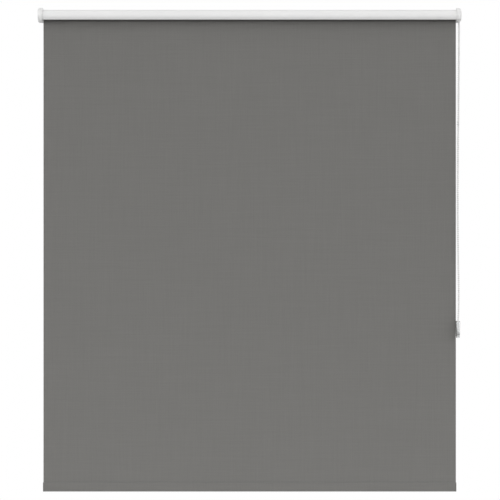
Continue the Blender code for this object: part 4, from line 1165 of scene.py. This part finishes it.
def build_bracket(side):
    """Bent steel clip with slotted holes, its swivel lever and the rivet."""
    low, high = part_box(f"wall_bracket_{side}")
    x = (low.x + high.x) / 2
    flange = cassette_high.z - HOOK_TIP - GAP
    tab = -low.y - STEEL
    outline = [(0, low.z), (STEEL, low.z), (STEEL, flange - STEEL), (tab + STEEL, flange - STEEL),
               (tab + STEEL, high.z), (tab, high.z), (tab, flange), (0, flange)]
    clip = side_piece(f"bracket_{side}", [filleted(outline, 0.9 * MM, 4)], low.x, high.x)
    frame_shape = front_piece("bracket_shape",
                              [rounded_box((low.x, low.z), (high.x, high.z), 3.0 * MM)],
                              -MM, 12 * MM)
    boolean(clip, frame_shape, operation="INTERSECT")
    outlines = [rounded_box((middle - HOLE_HALF, HOLE_LOW), (middle + HOLE_HALF, HOLE_HIGH), 2.19 * MM)
                for middle in (x - HOLE_OFFSET, x + HOLE_OFFSET)]
    outlines.append(circle((x, PIVOT_HEIGHT), PIVOT_HOLE, 24))
    holes = [front_piece("hole", [outline], -MM, STEEL + MM) for outline in outlines]
    boolean(clip, *holes)
    bevel(clip, 0.12 * MM)
    finish_piece(clip, "root", ZINC, [f"wall_bracket_{side}"])

    lever_low, lever_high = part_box(f"lock_lever_{side}")
    outline = rounded_box((x - BLADE_HALF, lever_low.z), (x + BLADE_HALF, lever_high.z), 1.6 * MM)
    blade = front_piece(f"lever_{side}", [outline], LEVER_FRONT - BLADE, LEVER_FRONT)
    hub = front_piece("hub", [circle((x, PIVOT_HEIGHT), HUB_RADIUS, 48)], STEEL + GAP, LEVER_FRONT)
    bore = front_piece("bore", [circle((x, PIVOT_HEIGHT), PIVOT_HOLE, 24)], 0, 9 * MM)
    boolean(blade, hub, operation="UNION")
    boolean(blade, bore)
    bevel(blade, 0.15 * MM)
    ribs = []
    for height in (lever_low.z + 0.9 * MM, lever_low.z + 1.9 * MM, lever_low.z + 2.9 * MM):
        outline = rounded_box((x - RIB_HALF, height), (x + RIB_HALF, height + 0.5 * MM), 0.2 * MM, 3)
        ribs.append(front_piece("rib", [outline], LEVER_FRONT - 0.7 * MM, LEVER_FRONT + 0.3 * MM))
    boolean(blade, *ribs, operation="UNION")
    finish_piece(blade, f"lever_{side}", WHITE_PLASTIC,
                 [f"lock_lever_{side}"])

    back = LEVER_FRONT + GAP
    head = [(RIVET_HEAD * u, back + 0.8 * MM * v) for u, v in arc((0, 0), 1, pi / 2, 0, 6)]
    profile = head + [(RIVET_HEAD, back), (RIVET_SHANK, back), (RIVET_SHANK, GAP), (0, GAP)]
    rivet = lathe(f"rivet_{side}", profile, (x, 0, PIVOT_HEIGHT), "y", 32)
    finish_piece(rivet, "root", ZINC, [f"lever_rivet_{side}"])


# -------- parts kept from the CAD model
KEPT = {
    WHITE_PLASTIC: ("drive_cap_base", "idle_cap_base", "drive_adaptor", "idle_plug", "spring_seat"),
    BLACK_PLASTIC: ("clutch_spindle", "chain_sprocket", "idle_bush"),
    EXTRUDED_METAL: ("roller_tube", "hem_bar"),
    ZINC: ("cap_screw_drive_top", "cap_screw_drive_back", "cap_screw_idle_top",
           "cap_screw_idle_back", "idle_pin", "tensioner_pin"),
    TAPE: ("tube_tape",),
}


def finish_kept_nodes():
    """Better materials on the CAD nodes that stay."""
    for material, names in KEPT.items():
        for name in names:
            mesh = frame["nodes"][name].data
            mesh.materials.clear()
            mesh.materials.append(material)


make_studio()
build_roll()
build_hem()
build_sheet()
build_connector()
build_tensioner()
build_chain()
build_cassette()
build_end_caps()
build_springs()
for bracket in ("left", "centre", "right"):
    build_bracket(bracket)
finish_kept_nodes()
